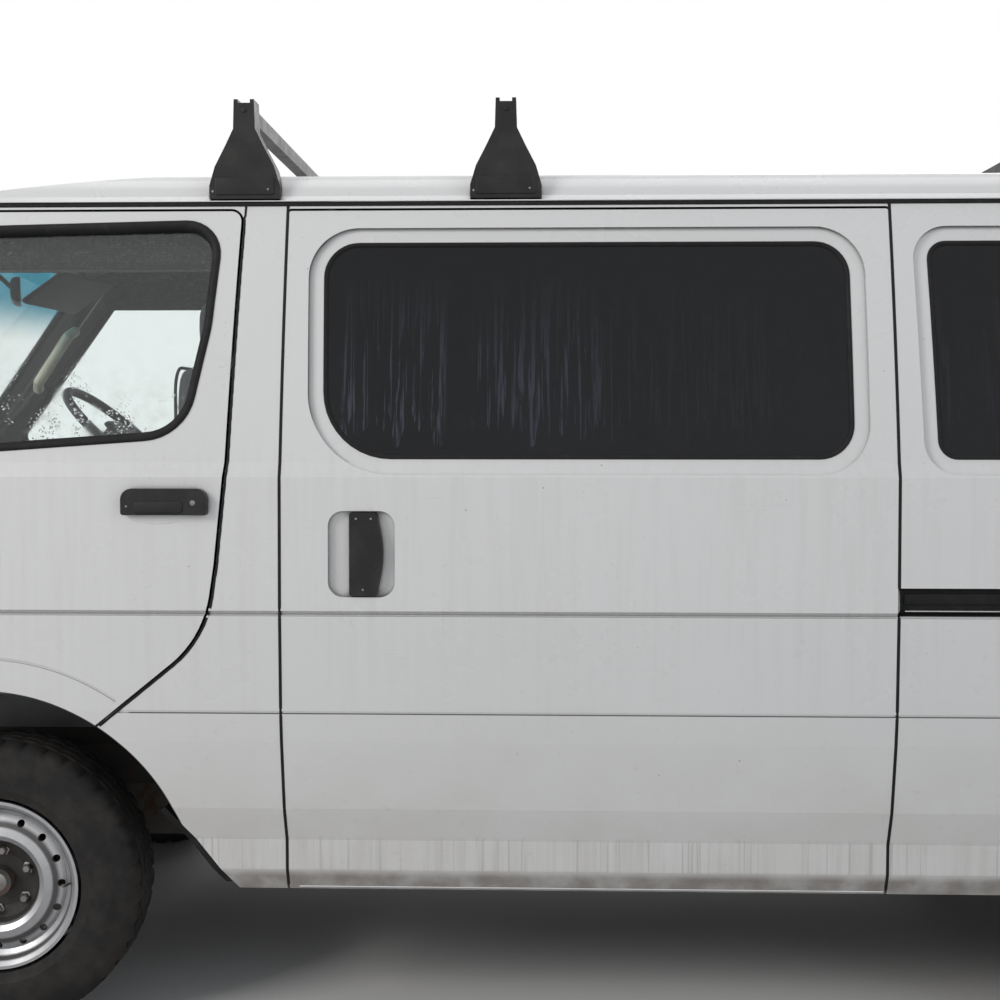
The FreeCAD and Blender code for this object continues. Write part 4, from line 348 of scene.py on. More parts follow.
PLATE = moulded("blank_plate", (0.72, 0.72, 0.68), 0.35, grain=700, depth=0.08, dust=0.3, coat=0.4)
RACK = moulded("rack_black", (0.011, 0.011, 0.012), 0.42, dust=0.1)
HEAD_LENS = lens("head_lens", (0.93, 0.95, 0.97), 9)
AMBER_LENS = lens("amber_lens", (0.85, 0.3, 0.03), 12, "Z", 0.5)
RED_LENS = lens("red_lens", (0.5, 0.012, 0.012), 12, "Z", 0.35)
FLOOR_METAL = metal("floor_metal", (0.2, 0.205, 0.21), 0.5, metallic=0.2, rust=0.15, grime=0.5, underside=0.6175)
CHASSIS = metal("chassis_black", (0.045, 0.045, 0.045), 0.6, metallic=0.3, rust=0.35, grime=0.5)
ENGINE = metal("engine_iron", (0.16, 0.155, 0.15), 0.6, metallic=0.8, rust=0.35, grime=0.6)
EXHAUST = metal("exhaust_steel", (0.36, 0.33, 0.3), 0.45, rust=0.45, grime=0.4)
BAR = metal("rack_aluminium", (0.62, 0.62, 0.63), brushed=(0.2, 4, 4), grime=0.25)
STEEL = metal("bright_steel", (0.6, 0.6, 0.62), 0.22)
ZINC = metal("zinc_screws", (0.3, 0.3, 0.31), 0.45, grime=0.4)
NUT = metal("wheel_nuts", (0.3, 0.29, 0.28), rust=0.3, grime=0.5)
BOARD = metal("ply_board", (0.33, 0.24, 0.15), 0.6, brushed=(0.3, 3, 3), metallic=0.0, grime=0.5)
FABRIC = cloth("seat_fabric", (0.1, 0.107, 0.125))
LINING = cloth("headlining", (0.03, 0.029, 0.03), 500)

WHEELS = [(end, side) for end in AXLES for side in ("left", "right")]
FINISH = (
    (PAINT, "left_side right_side nose_panel windscreen_surround roof_panel rear_valance sliding_door tailgate "
            "front_left_door front_right_door"),
    (SIDE_GLASS, "sliding_door_glass body_side_glass tailgate_glass"),
    (CLEAR_GLASS, "windscreen front_left_door_glass front_right_door_glass"),
    (TRIM, "sliding_door_handle front_left_door_fittings front_right_door_fittings grille"),
    (BUMPER, "front_bumper rear_bumper"), (RUBBER, "mud_guards"), (HEAD_LENS, "headlamps"),
    (AMBER_LENS, "indicators"), (RED_LENS, "tail_lamps"), (FLOOR_METAL, "floor_pan"), (ENGINE, "engine_block"),
    (CHASSIS, "chassis_frame front_suspension rear_axle leaf_springs propshaft fuel_tank left_knuckle right_knuckle"),
    (EXHAUST, "exhaust"), (SPARE, "spare_wheel"), (DASH, "dashboard steering_wheel"), (FABRIC, "front_seats"),
    (RACK, "roof_rack"),
) + tuple((material, f"{end}_{side}_{part}") for end, side in WHEELS for part, material in
           (("tyre", TYRE), ("rim", WHEEL)))
for material, names in FINISH:
    for name in names.split():
        slots = NODES[name].data.materials
        slots.clear()
        slots.append(material)

# The slot name of each material's pieces, unless they name another; piece looks it up but gives no slot.
SLOTS = {material: slot for slot, materials in {
    "white_paint": (PAINT, PLATE), "black_plastic": (TRIM, RUBBER), "dash_plastic": (DASH, TRIM_GREY, BEIGE, LINING),
    "rack_paint": (RACK,), "red_lens": (RED_LENS,), "wheel_steel": (NUT, ZINC), "chassis_steel": (STEEL, BAR),
    "tyre_rubber": (TYRE,), "seat_fabric": (FABRIC,), "floor_steel": (BOARD, FLOOR_METAL),
    "clear_glass": (MIRROR,), "engine_iron": (CHASSIS,)}.items() for material in materials}


# --- geometry helpers, in millimetres

def joined(shapes):
    """Several shapes of (points, faces) as one."""
    points, faces = [], []
    for some_points, some_faces in shapes:
        start = len(points)
        points += [Vector(p) for p in some_points]
        faces += [[index + start for index in face] for face in some_faces]
    return points, faces


def linked(name, data):
    """A new object of the scene."""
    item = bpy.data.objects.new(name, data)
    SCENE.collection.objects.link(item)
    return item


def smoothed(mesh, angle):
    mesh.polygons.foreach_set("use_smooth", [True] * len(mesh.polygons))
    mesh.set_sharp_from_angle(angle=radians(angle))


def piece(name, shapes, material, body="body", slot=None, smooth=32, replaces=()):
    """One mesh from shapes of (points, faces), which rides on a body."""
    points, faces = joined(shapes)
    mesh = bpy.data.meshes.new(name)
    mesh.from_pydata([point * MM for point in points], [], faces)
    work = bmesh.new()
    work.from_mesh(mesh)
    bmesh.ops.recalc_face_normals(work, faces=work.faces)
    work.to_mesh(mesh)
    work.free()
    mesh.materials.append(material)
    smoothed(mesh, smooth)
    item = linked(name, mesh)
    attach(item, body)
    slot or SLOTS[material]
    if replaces:
        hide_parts(*replaces)
    return item


def steps(low, high, count):
    """Evenly spaced values from one end to the other."""
    return [low + (high - low) * k / count for k in range(count + 1)]


def loft(rings, ends_meet=False):
    """Faces between rings of as many points each; the ends are capped, or meet."""
    count = len(rings[0])
    points = [point for ring in rings for point in ring]
    faces = []
    for row in range(len(rings) if ends_meet else len(rings) - 1):
        low, high = row * count, (row + 1) % len(rings) * count
        for index in range(count):
            after = (index + 1) % count
            faces.append((low + index, low + after, high + after, high + index))
    if not ends_meet:
        faces += [tuple(range(count))[::-1], tuple(range(len(points) - count, len(points)))]
    return points, faces


def frame_of(axis):
    """Two directions at right angles to an axis."""
    hint = Vector((0, 0, 1)) if abs(axis.z) < 0.9 else Vector((1, 0, 0))
    across = axis.cross(hint).normalized()
    return across, axis.cross(across).normalized()


def circle(centre, u, w, radius, segments):
    angles = [tau * k / segments for k in range(segments)]
    return [centre + (u * cos(a) + w * sin(a)) * radius for a in angles]


def turned(profile, centre, axis, segments=32):
    """A turned piece from (radius, distance along the axis)."""
    centre, axis = Vector(centre), Vector(axis).normalized()
    u, w = frame_of(axis)
    return loft([circle(centre + axis * along, u, w, max(radius, 0.01), segments) for radius, along in profile])


def disc(place, axis, radius, height, segments=24):
    """A low turned head with a rounded edge."""
    edge = 1
    return turned([(0, 0), (radius, 0), (radius, height - edge), (radius - edge, height), (0, height)],
                  place, axis, segments)


def tube(path, radius, segments=10, closed=False, squash=1.0):
    """A round bar along a path of points."""
    path = [Vector(p) for p in path]
    rings, side = [], None
    for index, point in enumerate(path):
        ahead = path[(index + 1) % len(path)] if closed or index + 1 < len(path) else point
        behind = path[index - 1] if closed or index else point
        along = (ahead - behind).normalized()
        side = frame_of(along)[0] if side is None else (side - along * side.dot(along)).normalized()
        rings.append(circle(point, side, along.cross(side) * squash, radius, segments))
    return loft(rings, closed)


def rounded(corners, parts=6):
    """Points of an outline whose corners are (u, w, radius)."""
    outline = []
    for index, (u, w, radius) in enumerate(corners):
        here = Vector((u, w))
        before = (Vector(corners[index - 1][:2]) - here).normalized()
        after = (Vector(corners[(index + 1) % len(corners)][:2]) - here).normalized()
        half_angle = before.angle(after) / 2
        reach = radius / tan(half_angle)
        centre = here + (before + after).normalized() * radius / sin(half_angle)
        start, end = here + before * reach - centre, here + after * reach - centre
        for a in steps(0, -start.angle_signed(end), parts):
            outline.append(centre + Matrix.Rotation(a, 2) @ start)
    return outline


def rect(u_low, w_low, u_high, w_high, *radii, parts=6):
    """A rounded rectangle with one radius for all corners, or one for each."""
    corners = ((u_low, w_low), (u_high, w_low), (u_high, w_high), (u_low, w_high))
    return rounded([(*corner, radii[k % len(radii)]) for k, corner in enumerate(corners)], parts)


def grown(outline, distance):
    """An outline moved outwards."""
    afters = outline[1:] + outline[:1]
    area = sum(here.x * after.y - after.x * here.y for here, after in zip(outline, afters))
    sign = 1 if area > 0 else -1
    result = []
    for index, (here, after) in enumerate(zip(outline, afters)):
        sides = (here - outline[index - 1], after - here)
        normals = [Vector((d.y, -d.x)).normalized() * sign for d in sides if d.length > 1e-6]
        normal = sum(normals, Vector((0, 0))).normalized()
        result.append(here + normal * distance / max(0.5, normal.dot(normals[0])))
    return result


def resampled(outline, step):
    """An outline whose long sides are divided."""
    result = []
    for here, after in zip(outline, outline[1:] + outline[:1]):
        parts = max(1, round((after - here).length / step))
        result += [here.lerp(after, k / parts) for k in range(parts)]
    return result


def slab(outline, place, low, high, edge=1.5, parts=3):
    """An outline raised between two heights; place turns (u, w, height) into a point."""
    levels = [(low, 0)]
    levels += [(high - edge + edge * sin(a), edge * (1 - cos(a))) for a in steps(0, pi / 2, parts)]
    return loft([[place(p.x, p.y, height) for p in grown(outline, -inset)] for height, inset in levels])


def upright(x, sign=1, z=0):
    """Places on a plane across the van; heights go to the rear, or with sign -1 to the front."""
    return lambda u, w, height: Vector((x + sign * height, u, z + w))


def block(low, high, edge):
    """A block with rounded edges between two corners."""
    low, high = Vector(low), Vector(high)
    work = bmesh.new()
    bmesh.ops.create_cube(work, size=1)
    for vertex in work.verts:
        vertex.co = (low + high) / 2 + Vector(vertex.co[k] * (high[k] - low[k]) for k in range(3))
    if edge:
        bmesh.ops.bevel(work, geom=list(work.edges), offset=edge, segments=2, profile=0.5, affect="EDGES")
    points = [vertex.co.copy() for vertex in work.verts]
    work.verts.index_update()
    faces = [[vertex.index for vertex in face.verts] for face in work.faces]
    work.free()
    return points, faces


def moved(shape, matrix):
    return [matrix @ Vector(p) for p in shape[0]], shape[1]


def about(place, degrees, axis):
    """A turn about an axis through a place."""
    place = Vector(place)
    return (Matrix.Translation(place) @ Matrix.Rotation(radians(degrees), 4, axis)
            @ Matrix.Translation(-place))


def flipped(shape):
    """The same shape on the other side of the van."""
    return moved(shape, MIRRORED)


def both_sides(shapes):
    return shapes + [flipped(shape) for shape in shapes]


def on_doors(name, shapes, material, slot=None, smooth=32):
    """The same piece on both front doors."""
    for side, turn in (("left", lambda shape: shape), ("right", flipped)):
        piece(f"{side}_{name}", [turn(shape) for shape in shapes], material, f"door_{side}", slot, smooth)


# Rays against the solids give a skin's place. A skin is a node, or one of these groups of nodes.

GROUPS = {
    "left": "left_side sliding_door front_left_door roof_panel windscreen_surround nose_panel",
    "left_inner": "left_side sliding_door",
    "front": "nose_panel windscreen_surround indicators headlamps grille",
    "nose": "nose_panel windscreen_surround",
}
RAYS = {
    # key: the axis that a ray runs along, where it starts, and its sense; u and w are the other two
    "side": ("y", -1500, 1), "right": ("y", 1500, -1), "outwards": ("y", -300, -1),
    "front": ("x", -4000, 1), "back": ("x", 4000, -1), "backwards": ("x", 1500, 1),
    "above": ("z", 3000, -1), "upwards": ("z", 1500, 1), "downwards": ("z", 1500, -1),
}
NUDGES = ((0, 0), (4, 0), (-4, 0), (0, 4), (0, -4), (8, 8), (-8, -8), (8, -8), (-8, 8))


@lru_cache(None)
def tree_of(skin):
    """A search tree over a skin, in millimetres."""
    meshes = [NODES[node].data for node in GROUPS.get(skin, skin).split()]
    return BVHTree.FromPolygons(*joined([([vertex.co * 1000 for vertex in mesh.vertices],
                                          [face.vertices for face in mesh.polygons]) for mesh in meshes]))


def hit(skin, u, w, ray="side"):
    """The place and the outward normal of a skin where a ray meets it; a ray that misses is nudged."""
    letter, start, sense = RAYS[ray]
    axis = "xyz".index(letter)
    direction = Vector()
    direction[axis] = sense
    for du, dw in NUDGES:
        origin = [u + du, w + dw]
        origin.insert(axis, start)
        place, normal, _, _ = tree_of(skin).ray_cast(Vector(origin), direction)
        if place is not None:
            return place, (-normal if normal.dot(direction) > 0 else normal)
    raise ValueError(f"no skin {skin} at {u:.0f}, {w:.0f}")


def over(skin, ray="side"):
    """Turns (u, w, height) into a place over a skin."""
    def place(u, w, height):
        point, normal = hit(skin, u, w, ray)
        return point + normal * height
    return place


def lining(us, ws, skin, ray, low, high):
    """A thin panel that follows a skin over a grid."""
    place = over(skin, ray)
    return loft([[place(u, w, low) for w in ws] + [place(u, w, high) for w in reversed(ws)] for u in us])


def strip(path, profile, centre=None):
    """A moulding along a path of (place, normal), closed round a centre; its profile is (outwards, height)."""
    rings, last = [], len(path) - 1
    for index, (place, normal) in enumerate(path):
        ahead, behind = ((index + 1) % len(path), index - 1) if centre else (min(index + 1, last), max(index - 1, 0))
        along = (path[ahead][0] - path[behind][0]).normalized()
        normal = (normal - along * normal.dot(along)).normalized()
        across = normal.cross(along).normalized()
        if centre and across.dot(place - centre) < 0:
            across = -across
        rings.append([place + across * d + normal * h for d, h in profile])
    return loft(rings, ends_meet=bool(centre))


def seal(outline, skin, profile, ray="side", margin=5):
    """A strip round an opening; the distance in its profile counts from the opening's edge."""
    path = [hit(skin, p.x, p.y, ray) for p in grown(resampled(outline, 60), margin)]
    centre = sum((place for place, _ in path), Vector()) / len(path)
    return strip(path, [(d - margin, h) for d, h in profile], centre)


# --- window rubber

TAILGATE = "tailgate_body"
SEAL = [(5, 0.2), (5, 2), (2, 4), (-4, 4.4), (-11, 2), (-15, -5), (-17, -10), (-17, -14.4), (-1, -14.4), (-1, 0.2)]
SCREEN_SEAL = [(across, height + (3 if height < -8 else 0)) for across, height in SEAL]
THIN_SEAL = [(3, 0.2), (2.5, 1.6), (-2, 2.2), (-6, 0), (-8, -4), (-8, -2.4), (-0.8, -2.4), (-0.8, 0.2)]
SHARP = 60
DOOR_WINDOW = rounded([(-1925, 1287, 40), (-1490, 1827, 60), (-862, 1842, 75), (-882, 1600, 300),
                       (-931, 1357, 115)], 8)
WINDSCREEN = rounded([(-735, 1210, 70), (-605, 1855, 70), (605, 1855, 70), (735, 1210, 70)], 8)
TAIL_WINDOW = rounded([(-630, 1190, 80), (-550, 1810, 80), (550, 1810, 80), (630, 1190, 80)], 8)
SIDE_WINDOWS = {
    "sliding_door": rounded([(-618, 1309, 150), (-628, 1790, 75), (546, 1790, 75), (546, 1309, 75)], 10),
    "left_side": rounded([(733, 1309, 40), (723, 1790, 40), (2130, 1790, 75), (2130, 1309, 75)], 10),
}

on_doors("door_window_rubber", [seal(DOOR_WINDOW, "front_left_door", SEAL)], RUBBER, smooth=SHARP)
side_seals = [seal(outline, skin, THIN_SEAL) for skin, outline in SIDE_WINDOWS.items()]
piece("side_window_rubber", both_sides(side_seals), RUBBER, smooth=SHARP)
piece("windscreen_rubber", [seal(WINDSCREEN, "windscreen_surround", SCREEN_SEAL, "front")], RUBBER, smooth=SHARP)
piece("tail_window_rubber", [seal(TAIL_WINDOW, "tailgate", SEAL, "back")], RUBBER, TAILGATE, smooth=SHARP)


# --- sides

OUT = Vector((0, -1, 0))
UNDER_GUTTER, SILL = 1877, 332
gutter = [(Vector((x, -690, 1886)), OUT) for x in steps(-1560, 2290, 12)]
piece("gutter_seals", both_sides([strip(gutter, [(-8, 0.3), (-8, 4), (-6.5, 5.5), (-0.5, 5.5), (1, 4), (1, 0.3)])]),
      RUBBER)
piece("gutter_lips", both_sides([strip(gutter, [(1.4, 0.3), (1.4, 7), (2.2, 8), (4, 7), (4, 0.3)])]), PAINT)

floor_y = hit("left_side", 1300, 995)[0].y
# Painted shade: dark rubber lines the back, top and bottom walls of the track's slot; the thicker bar in it is the
# rail's own dark body.
piece("door_track_shade_lining", [
    block((648, floor_y - 2, 966), (1989, floor_y - 0.3, 1026), 0.4),
    block((655, floor_y - 7, 990), (1980, floor_y - 2.3, 1014), 1.5),
    block((648, -836, 965.4), (1989, floor_y - 2.2, 967), 0.4),
    block((648, -836, 1024.8), (1989, floor_y - 2.2, 1026.4), 0.4)], RUBBER)
piece("door_track_rail", [block((655, floor_y - 16, 975), (1980, floor_y - 2.3, 977.5), 1)], BAR)

FITTINGS = "front_left_door_fittings"
key = hit(FITTINGS, -903, 1211)[0]
lock = [disc(key, OUT, 6, 1.6), disc(key + OUT * 1.6, OUT, 3.6, 0.8),
        disc(hit(FITTINGS, -1050, 1203)[0], OUT, 2.6, 1)]
flap = slab(rect(-1034, 1188, -925, 1214, 10, 10, 8, 8), over(FITTINGS), 0.2, 3.2, 2.4)
arc = [Vector((-985 + 73 * cos(a), 1190 - 27 * sin(a))) for a in steps(0, pi, 16)]
on_doors("handle_flap", [flap], TRIM)
on_doors("handle_lock", lock, ZINC)
on_doors("handle_scoop", [slab(arc, over("front_left_door"), 0.1, 1.3, 1.2)], PAINT)
glass = rounded([(-862, 1194, 22), (-984, 1194, 30), (-984, 1404, 34), (-862, 1404, 26)])
on_doors("mirror_glass", [slab(glass, upright(-1988), 0.1, 2.2, 1.5)], MIRROR)


# Each point is on the body, on the first edge that rays meet from the front, moved back by half a strip.
door_line = []
for z in steps(712, 1850, 150):
    for x in range(-1150, -780):
        place, normal, _, _ = tree_of("left_side").ray_cast(Vector((x, -1500, z)), -OUT)
        if place and place.y < -600:
            door_line.append((Vector((x + 2, place.y, z)), Vector((0, normal.y, normal.z)).normalized()))
            break
top, normal = door_line[-1]
for z in steps(1856, UNDER_GUTTER, 4):
    x = top.x + 2 + (z - 1850) * 0.04
    door_line.append((Vector((x, hit("left", x, z)[0].y, z)), normal))
slider_lines = []
for x, skin, shift in ((-715, "left", -6), (641, "left_side", 6)):
    slider_lines.append([(Vector((x, *hit(skin, x + shift, z)[0].yz)), hit("left", x + shift, z)[1])
                         for z in steps(SILL, UNDER_GUTTER, 160)])
# Painted shade: thin dark strips laid over the shut lines of the front doors and the sliding door.
door_gap_shade = strip(door_line, [(-2.6, 0.1), (-2.6, 0.6), (2.6, 0.6), (2.6, 0.1)])
slider_gap_shades = [strip(line, [(-3.5, 0.1), (-3.2, 0.7), (3.2, 0.7), (3.5, 0.1)]) for line in slider_lines]
piece("shut_gap_shade_strips", both_sides([door_gap_shade]) + slider_gap_shades, RUBBER)
lip = [hit("sliding_door", x, SILL - 6) for x in steps(-690, 636, 10)]
piece("sliding_door_lip", [strip(lip, [(-2.5, 0.2), (-1.5, 1.6), (1.5, 1.6), (2.5, 0.2)])], BAR, slot="white_paint")
SCREWS = ((-545, 1176), (-512, 1176), (-530, 1020))
piece("sliding_handle_screws", [disc(*hit("sliding_door_handle", *spot), 2.6, 1.2) for spot in SCREWS], ZINC)
fuel_flap = rect(790, 830, 940, 980, 22)
right_skin = over("right_side", "right")
# Painted shade: a thin dark border round the fuel flap, in the place of its gap.
piece("fuel_flap_gap_shade", [slab(grown(fuel_flap, 3), right_skin, 0.1, 0.6, 0.3)], RUBBER)
piece("fuel_flap", [slab(fuel_flap, right_skin, 0.7, 2, 1)], PAINT)


# --- nose and tail

slats = [block((-2371, -455, z - 5), (-2338, 455, z + 5), 3) for z in steps(728, 842, 4)]
slats += [block((-2374, y - 3, 711), (-2340, y + 3, 859), 2) for y in (-300, -150, 150, 300)]
piece("grille_slats", slats, TRIM)
fins = [block((-2334, y, 706), (-2330, y + 1.5, 864), 0) for y in steps(-452, 450, 150)]
piece("radiator_fins", fins + [block((-2329.5, -455, 702), (-2327, 455, 866), 0.5)], CHASSIS)
DISH = [(0, 0), (20, 2.5), (38, 14), (50, 34), (52, 38), (53.5, 38), (52, 33), (39, 12), (21, -0.5), (0, -2.5)]
BULB = [(0, 2), (8, 2), (9, 20), (5, 28), (0, 30)]
lamps = [turned([(r * share, h * share) for r, h in profile], (x, y, 785), (-1, 0, 0), 40)
         for y, x, share in ((-640, -2256, 1.0), (-541, -2272, 0.84)) for profile in (DISH, BULB)]
piece("headlamp_reflectors", both_sides(lamps), MIRROR, slot="lamp_lens")
surround = seal(rect(-722, 698, -471, 872, 22), "front", [(-4, 0.2), (-4, 3), (-2, 4), (2, 2.5), (3, 0.2)],
                "front", 1)
piece("headlamp_surrounds", both_sides([surround]), TRIM)
inserts = [slab(rect(-330, 396, 330, 436, 18), over("front_bumper", "front"), 0.2, 2, 1.2)]
for y in (-560, 560):
    inserts.append(turned([(0, 0.2), (46, 0.2), (46, 4), (42, 6), (38, 4), (0, 3)],
                          *hit("front_bumper", y, 480, "front"), 40))
piece("front_bumper_inserts", inserts, RUBBER)

BACK = Vector((1, 0, 0))
PLATE_OUTLINE = rect(-260, 0, 260, 110, 8)
piece("front_plate", [slab(PLATE_OUTLINE, upright(-2425.1, -1, 452), 0.1, 0.9, 0.4)], PLATE)
piece("rear_plate", [slab(PLATE_OUTLINE, upright(2407.2, 1, 790), 0.2, 2.2, 0.8)], PLATE, TAILGATE)
holder = slab(grown(PLATE_OUTLINE, 7), upright(2405, 1, 790), 0.2, 2.2, 1)
bolts = [disc((2409.4, y, 845), BACK, 6, 2.5, 6) for y in (-190, 190)]
piece("rear_plate_holder", [holder] + bolts, TRIM, TAILGATE)
tailgate_skin = over("tailgate", "back")
garnish = slab(rect(-340, 935, 340, 1005, 26, 26, 30, 30), tailgate_skin, 0.2, 15, 8, 4)
handle = slab(rect(-95, 948, 95, 978, 12), upright(2419.5), 0.2, 4, 3)
piece("tailgate_garnish", [garnish, handle], TRIM, TAILGATE)
piece("tailgate_lock", [disc((x, 160, 968), BACK, radius, height) for x, radius, height in
                        ((2420.2, 11, 2), (2422.2, 6, 1))], STEEL, TAILGATE, "wheel_steel")
stop = slab(rect(-130, 1850, 130, 1868, 9), tailgate_skin, 0.2, 9, 4)
piece("high_stop_lamp", [stop], RED_LENS, TAILGATE)
reflex = slab(rect(-740, 440, -620, 472, 8), over("rear_bumper", "back"), 0.2, 3, 1.5)
piece("rear_reflectors", both_sides([reflex]), RED_LENS)
piece("rear_step_treads", [block((2360, y, 610.2), (2392, y + 16, 612), 0.7) for y in steps(-520, 504, 32)], RUBBER)


def wiper(skin, ray, pivot, elbow, ends):
    """An arm from its spindle to a blade that lies on a pane."""
    sit = over(skin, ray)
    low, high = (Vector(end) for end in ends)
    blade = [hit(skin, *low.lerp(high, t), ray) for t in steps(0, 1, 10)]
    rise = pivot + (sit(*elbow, 20) - pivot) * 0.25 + (sit(*elbow, 26) - sit(*elbow, 0)) * 0.3
    path = [pivot, rise, sit(*elbow, 24), sit(*low.lerp(high, 0.5), 14)]
    return [strip(blade, [(-2, 0.3), (-5, 9), (5, 9), (2, 0.3)]),
            tube([place + normal * 12 for place, normal in blade[1:-1]], 4, 8),
            tube(path, 6.5, 10, squash=0.6),
            turned([(0, 0), (15, 0), (15, 14), (9, 20), (0, 20)], pivot - (rise - pivot).normalized() * 4,
                   (0, 0, 1), 24)]


wipers = []
for y, ends in ((-420, ((-600, 1238), (-60, 1268))), (180, ((-10, 1236), (540, 1262)))):
    pivot = hit("nose", -2165, y, "above")[0] + Vector((0, 0, 3))
    wipers += wiper("windscreen", "front", pivot, (y + 60, 1246), ends)
piece("front_wipers", wipers, TRIM)
pivot = hit("tailgate", 0, 1168, "back")[0] + BACK * 6
cap = turned([(0, 0), (20, 0), (20, 8), (13, 15), (0, 16)], pivot - BACK * 5.5, BACK, 28)
rear_wiper = wiper("tailgate_glass", "back", pivot, (-90, 1215), ((-420, 1236), (-60, 1222)))
piece("rear_wiper", rear_wiper[:3] + [cap], TRIM, TAILGATE)


# --- roof rack

RACK_FACE = -690.2
covers, bright = [], []
for x in (-815, -220, 1150):
    covers.append(slab(rect(x - 68, 1904, x + 68, 1944, 6), over("roof_rack"), 0.1, 2.6, 1.6))
    covers.append(turned([(0, 0), (5, 0), (5, 3), (0, 4)], (x, RACK_FACE, 2094), OUT, 6))
    bright.append(disc((x - 73, RACK_FACE, 1912), OUT, 3, 1.4))
    bright.append(disc((x + 54, RACK_FACE - 2.6, 1916), OUT, 2.8, 1.4))
piece("rack_foot_covers", both_sides(covers), RACK)
piece("rack_bolts", both_sides(bright), ZINC, slot="rack_paint")


# --- wheels

# Half of a tyre's section as (radius, distance from its middle), from the bead to the middle of the tread.
TYRE_HALF = [(202, 70), (203, 84), (209, 88), (222, 91), (225, 94), (238, 95), (262, 96.5), (281, 96), (284, 94.2),
             (300, 92.4), (311, 88), (322, 81), (329, 72), (331, 60), (332.5, 48), (325, 47.4), (325, 40.6),
             (333, 40), (333, 20), (325, 19.4), (325, 12.6), (333, 12)]
SECTION = TYRE_HALF + [(r, -w) for r, w in reversed(TYRE_HALF)]
SEGMENTS = 168
NUT_PROFILE = [(0, 0), (14, 0), (14, 3), (11, 4), (11, 14), (8, 18), (0, 18)]


def around(x, y, radius, angle):
    return x + radius * cos(angle), y, WHEEL_HEIGHT + radius * sin(angle)


for end, side in WHEELS:
    x, sign = AXLES[end], (1 if side == "right" else -1)
    # A tyre has four grooves round it, and cuts across its shoulders and ribs at every fourth place.
    rings = []
    for k in range(SEGMENTS):
        ring = []
        for r, w in SECTION:
            shoulder = 44 < abs(w) < 85 and r > 315 and k % 4 == 0
            rib = r > 332.6 and k % 4 == 2
            ring.append(around(x, sign * 715 + w, r - 6 * shoulder - 2.5 * rib, tau * k / SEGMENTS))
        rings.append(ring)
    wheel = f"wheel_{end}_{side}"
    piece(f"{end}_{side}_tread", [loft(rings, ends_meet=True)], TYRE, wheel, smooth=34,
          replaces=[f"{end}_{side}_tyre"])
    axis, face = (0, sign, 0), sign * 746.3
    nuts = [turned(NUT_PROFILE, around(x, face, 70, tau * (k + 0.4) / 6), axis, 6) for k in range(6)]
    cap = turned([(0, 0), (29, 0), (29, 16), (25, 25), (14, 29), (0, 30)], (x, face, WHEEL_HEIGHT), axis)
    valve = tube([(x + dx, sign * y, WHEEL_HEIGHT) for dx, y in ((166, 772), (164, 786), (158, 796))], 4)
    piece(f"{end}_{side}_wheel_nuts", nuts + [cap, valve], NUT, wheel)


# --- cab

door_inside = over("front_left_door", "outwards")
card = rounded([(-2060, 775, 40), (-1120, 775, 60), (-965, 985, 60), (-945, 1258, 40), (-1935, 1258, 40),
                (-2060, 1080, 60)])
raised = rounded([(-1780, 900, 40), (-1040, 900, 40), (-1000, 1180, 40), (-1780, 1180, 40)])
SPEAKER = [(0, 0), (82, 0), (82, 5), (76, 8), (70, 5), (62, 7), (56, 5), (0, 9)]
on_doors("door_card", [
    slab(card, door_inside, 0.3, 12, 8), slab(raised, door_inside, 11, 22, 9),
    block((-1560, -780, 985), (-1090, -722, 1048), 20),
    turned(SPEAKER, door_inside(-1900, 880, 12), (0, 1, 0), 48)], TRIM_GREY)
on_doors("door_pulls", [
    tube([(-1430, -776, 1105), (-1420, -742, 1105), (-1320, -736, 1108), (-1220, -742, 1105), (-1210, -776, 1105)],
         11, 14),
    block((-1700, -776, 1085), (-1610, -764, 1118), 6),
    tube([(-1650, -778, 955), (-1650, -756, 955), (-1600, -748, 930), (-1565, -748, 912), (-1565, -728, 912)],
         8, 12)], TRIM)

piece("cab_headlining", [lining(steps(-1470, -620, 8), steps(-560, 560, 12), "roof_panel", "upwards", 1, 9)], LINING)
driver_visor = moved(block((-1640, 90, 1800), (-1490, 540, 1818), 8), about((-1490, 0, 1809), -35, "Y"))
passenger_visor = moved(block((-1640, -540, 1800), (-1490, -90, 1818), 8), about((-1565, 0, 1815), 14, "Y"))
rods = [tube([(-1490, y, 1809), (-1478, y, 1830), (-1478, y, 1882)], 4) for y in (-520, -110, 110, 520)]
piece("sun_visors", [driver_visor, passenger_visor] + rods, LINING)
section = [(590, 1868), (590, 1790), (600, 1748), (618, 1736), (640, 1740), (655, 1756), (648, 1800), (636, 1868)]
rail = loft([[(x, -y, z) for y, z in section] for x in steps(-1530, -640, 20)])
piece("cab_side_rails", both_sides([rail]), LINING)

MIRROR_Z = 1744
aim = about((-1590, 0, MIRROR_Z), 19, "Z")
head = slab(rect(-118, -34, 118, 34, 30), upright(-1588, -1, MIRROR_Z), -4, 22, 18, 5)
pane = slab(rect(-108, -27, 108, 27, 24), upright(-1584, 1, MIRROR_Z), 0.1, 1.2, 0.8)
stem = tube([(-1603, 0, 1750), (-1640, 0, 1785), (-1685, 0, 1778)], 7, 12)
piece("cab_mirror", [moved(head, aim), stem, disc((-1692, 0, 1778), (1, 0, -0.5), 20, 6)], TRIM)
piece("cab_mirror_glass", [moved(pane, aim)], MIRROR)
low, high = Vector((-1765, 652, 1490)), Vector((-1640, 640, 1670))
along = (high - low).normalized() * 20
inwards = Vector((0, -36, 0))
path = [low + inwards / 9, low + along + inwards, high - along + inwards, high + inwards / 9]
handle = tube(path, 17, 14, squash=1.3)
piece("driver_grab_handle", [handle], BEIGE)
piece("passenger_grab_handle", [flipped(handle)], BEIGE)

